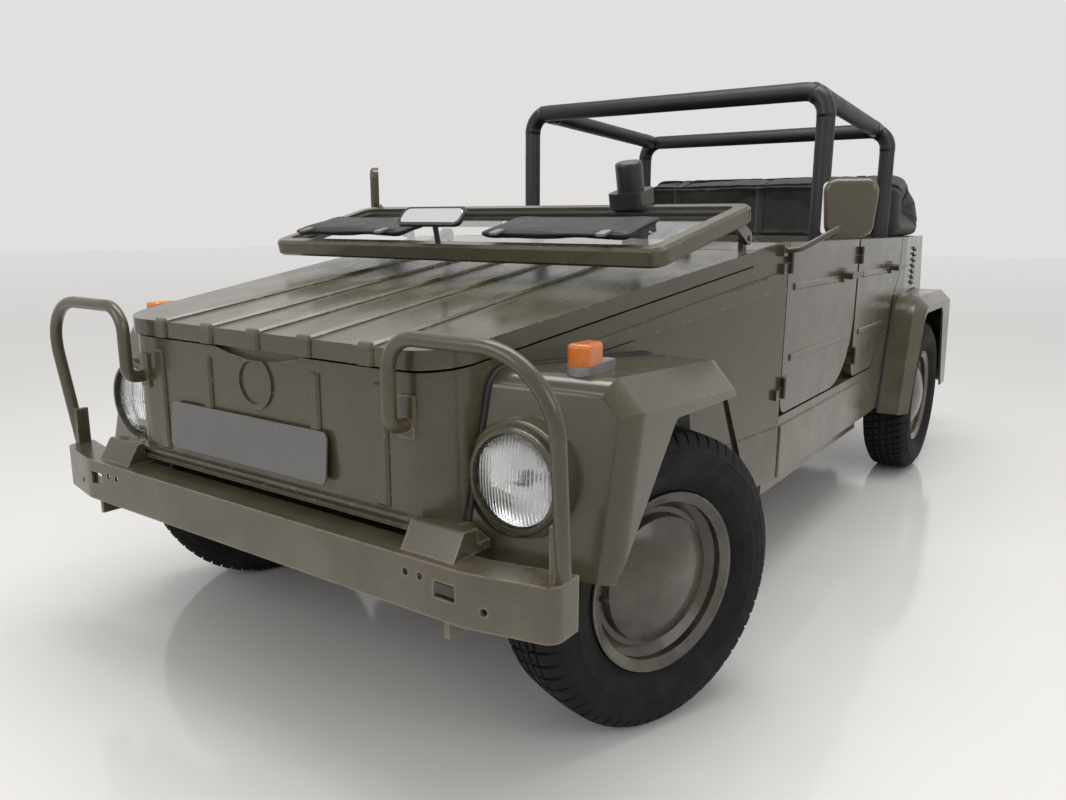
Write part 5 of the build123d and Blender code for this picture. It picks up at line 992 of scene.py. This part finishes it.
# Headlamps: fluted glass over a bright bowl with a bulb
lens_low, lens_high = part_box("headlamp_lenses")
LENS_RADIUS = (lens_high.z - lens_low.z) / 2
LENS_DOME = 0.014
FLUTE_PITCH = 0.0078
FLUTE_DEEP = 0.0017


def lens_part():
    """(points, faces) of a domed glass with upright flutes on its face, looking along Z."""
    rings, turns = 44, 200
    points, faces = [], []
    for rear in (0, 1):
        points.append((0, 0, LENS_DOME if not rear else LENS_DOME - 0.004))
        for ring in range(1, rings + 1):
            radius = LENS_RADIUS * ring / rings
            for turn in range(turns):
                angle = 2 * pi * turn / turns
                x, y = radius * cos(angle), radius * sin(angle)
                rise = LENS_DOME * (1 - (radius / LENS_RADIUS) ** 2)
                flute = FLUTE_DEEP * cos(2 * pi * x / FLUTE_PITCH) if ring < rings - 2 else 0.0
                points.append((x, y, rise - flute - FLUTE_DEEP if not rear else rise - 0.004))
    count = 1 + rings * turns
    for rear in (0, 1):
        base = rear * count
        for turn in range(turns):
            tri = [base, base + 1 + turn, base + 1 + (turn + 1) % turns]
            faces.append(tri if not rear else tri[::-1])
            for ring in range(rings - 1):
                a, b = base + 1 + ring * turns + turn, base + 1 + ring * turns + (turn + 1) % turns
                quad = [a, a + turns, b + turns, b]
                faces.append(quad if not rear else quad[::-1])
    last = 1 + (rings - 1) * turns
    for turn in range(turns):
        a, b = last + turn, last + (turn + 1) % turns
        faces.append([a, a + count, b + count, b])
    return points, faces


glasses, bowls = [], []
lens_x = lens_high.x - LENS_DOME
lens_y = lens_high.y - LENS_RADIUS
lens_z = (lens_low.z + lens_high.z) / 2
bowl = [(0.010, -0.023), (0.016, -0.0245), (0.040, -0.021), (0.062, -0.0155), (0.078, -0.009),
        (LENS_RADIUS - 0.003, -0.004)]
bulb = [(0.0, 0.002), (0.006, 0.0005), (0.010, -0.006), (0.010, -0.014), (0.015, -0.018), (0.016, -0.0245)]
for side in (1, -1):
    lie = facing((lens_x, side * lens_y, lens_z), (1, 0, 0))
    glasses.append(moved(lens_part(), lie))
    bowls += [moved(spun(bowl, 64), lie), moved(spun(bulb, 24), lie)]
lamps = place("headlamp_glasses", joined("headlamp_glasses", glasses), LAMP, "body", "lamp_glass")
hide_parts("headlamp_lenses")
place("headlamp_bowls", joined("headlamp_bowls", bowls), BRIGHT, "body", "bare_metal")

# Painted shade: dark seal-rubber tubes laid between fenders and body, standing for the shadow in the seam
# recess
SEAM_SHADE_RADIUS = 0.0055


def body_half(x):
    """Half width of the body at a place along the car, where it narrows to the nose and the tail."""
    if x > 0.533:
        return 0.499 + (1.820 - x) * (0.170 / 1.287)
    return 0.669 - max(0.0, -1.000 - x) * (0.069 / 0.800)


SEAM_SHADE_RUNS = (((1.764, 0.500), (1.702, 0.795), (1.185, 0.768), (0.978, 0.398)),
         ((-0.678, 0.300), (-0.815, 0.765), (-1.430, 0.765), (-1.490, 0.330)))
seam_shade_tubes = []
for run in SEAM_SHADE_RUNS:
    for side in (1, -1):
        spots = [(x, side * (body_half(x) + 0.004), z) for x, z in run]
        seam_shade_tubes.append(tube_part(bent(spots, (0.045, 0.060), 0.02), SEAM_SHADE_RADIUS, 10))
# These dark tubes are painted shade: they stand for the shadow in the fender seams
place("fender_seam_shade", joined("fender_seam_shade", seam_shade_tubes), SEAL, "body", "black_paint")

# Side mirror glasses
SIDE_MIRRORS = ((1, 15.0, 0.497, 1.099, 0.073, 0.078), (-1, 45.0, 0.648, 1.170, 0.061, 0.078))
MIRROR_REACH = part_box("side_mirrors")[1].y
faces_made = []
for side, turn, x, z, half_wide, half_high in SIDE_MIRRORS:
    normal = Vector((-cos(radians(turn)), -side * sin(radians(turn)), 0))
    y = side * (MIRROR_REACH - half_wide * cos(radians(turn)) - 0.015 * sin(radians(turn)))
    across = Vector((normal.y, -normal.x, 0))
    basis = Matrix((across, Vector((0, 0, 1)), normal)).transposed().to_4x4()
    wide, high = half_wide - 0.007, half_high - 0.007
    loop = rounded_loop([(-wide, -high), (wide, -high), (wide, high), (-wide, high)], 0.014)
    faces_made.append(moved(slab(loop, 0.013, 0.0165, 0.0015), Matrix.Translation((x, y, z)) @ basis))
mirrors = joined("side_mirror_glasses", faces_made)
place("side_mirror_glasses", mirrors, MIRROR, "body", "bare_metal", smooth=False)

# Dash: one round instrument with ticks and a needle, and pull knobs beside it
DASH_X = 0.4945
DIAL_AT = (DASH_X, 0.340, 0.930)
DIAL_RADIUS = 0.046
KNOB_Z = 0.905
dash = facing(DIAL_AT, (-1, 0, 0))
rim = spun([(0.036, 0.0), (0.037, 0.008), (0.041, 0.010), (DIAL_RADIUS, 0.006), (DIAL_RADIUS, -0.004)], 48)
knob = spun([(0.005, -0.004), (0.005, 0.012), (0.011, 0.014), (0.012, 0.019), (0.009, 0.023), (0.0, 0.024)], 20)
knobs = [moved(knob, facing((DASH_X, y, KNOB_Z), (-1, 0, 0))) for y in (0.175, 0.215, 0.445, 0.485)]
place("dash_knobs", joined("dash_knobs", [moved(rim, dash)] + knobs), BLACK, "body", "black_paint")
marks = []
for step in range(21):
    angle = radians(220 - step * 13)
    inner = 0.026 if step % 5 == 0 else 0.029
    loop = [Vector(spot) for spot in ((inner, -0.0006), (0.034, -0.0006), (0.034, 0.0006), (inner, 0.0006))]
    marks.append(moved(slab(loop, 0.002, 0.0032), dash @ Matrix.Rotation(angle, 4, "Z")))
needle = ((-0.006, -0.0011), (0.028, -0.0004), (0.028, 0.0004), (-0.006, 0.0011))
loop = [Vector(spot) for spot in needle]
marks.append(moved(slab(loop, 0.003, 0.0042), dash @ Matrix.Rotation(radians(216), 4, "Z")))
place("dial_marks", joined("dial_marks", marks), PLATE, "body", "plate_grey", smooth=False)


# Bolts and screws
def bolt(spot, way, radius):
    """(points, faces) of a hexagon head on a washer."""
    tall = radius * 0.9
    head = spun([(0.0, tall), (radius * 0.80, tall), (radius, radius * 0.7), (radius, 0.0)], 6)
    washer = spun([(0.0, 0.0012), (radius * 1.35, 0.0012), (radius * 1.35, -0.001)], 20)
    lie = facing(spot, way)
    return [moved(head, lie), moved(washer, lie)]


heads = []
for node in ("cage_front_hoop", "cage_rear_hoop"):
    low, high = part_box(node)
    x, half = (low.x + high.x) / 2, high.y - FLANGE_WIDE
    for side in (1, -1):
        for turn in (45, 135, 225, 315):
            spot = (x + 0.0345 * cos(radians(turn)), side * half + 0.0345 * sin(radians(turn)), low.z + 0.008)
            heads += bolt(spot, (0, 0, 1), 0.006)
lamp_low, lamp_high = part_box("tail_lamps")
for side in (1, -1):
    for z in (lamp_low.z + 0.012, lamp_high.z - 0.012):
        y = side * (lamp_high.y - (lamp_high.y - lamp_low.y) * 0.04)
        heads += bolt((lamp_low.x, y, z), (-1, 0, 0), 0.003)
place("bolts", joined("bolts", heads), STEEL, "body", "bare_metal", smooth=False)

# Floor, soft light and background
floor_made, floor_tree, floor_shader = material("studio_floor", Roughness=0.10)
floor_spot = places(floor_tree)
floor_tone = grain(floor_tree, floor_spot, 1.5, 4)
floor_mix = mixed(floor_tree, floor_tone, (0.66, 0.65, 0.635), (0.71, 0.70, 0.685))
colour(floor_tree, floor_shader, floor_mix)
floor_corners = [(-30, -30, 0), (30, -30, 0), (30, 30, 0), (-30, 30, 0)]
floor = bpy.data.objects.new("floor", mesh_of("floor", floor_corners, [[0, 1, 2, 3]]))
floor.data.materials.append(floor_made)
bpy.context.scene.collection.objects.link(floor)


def soft_light(name, spot, target, size, power):
    data = bpy.data.lights.new(name, "AREA")
    data.shape = "RECTANGLE"
    data.size, data.size_y = size
    data.energy = power
    lamp = bpy.data.objects.new(name, data)
    lamp.matrix_world = facing(spot, Vector(spot) - Vector(target))
    bpy.context.scene.collection.objects.link(lamp)


soft_light("overhead", (0.6, 0.3, 4.6), (0.2, 0.0, 0.5), (4.5, 1.6), 150.0)
soft_light("side", (2.0, 4.6, 2.8), (0.3, 0.2, 0.6), (3.0, 2.0), 34.0)
soft_light("front", (5.2, -1.0, 2.6), (0.8, 0.0, 0.6), (2.4, 1.8), 40.0)
world = bpy.data.worlds.new("world")
world.use_nodes = True
back = world.node_tree.nodes["Background"]
back.inputs["Color"].default_value = (0.82, 0.81, 0.80, 1)
back.inputs["Strength"].default_value = 0.92
bpy.context.scene.world = world
bpy.context.scene.view_settings.view_transform = "Standard"
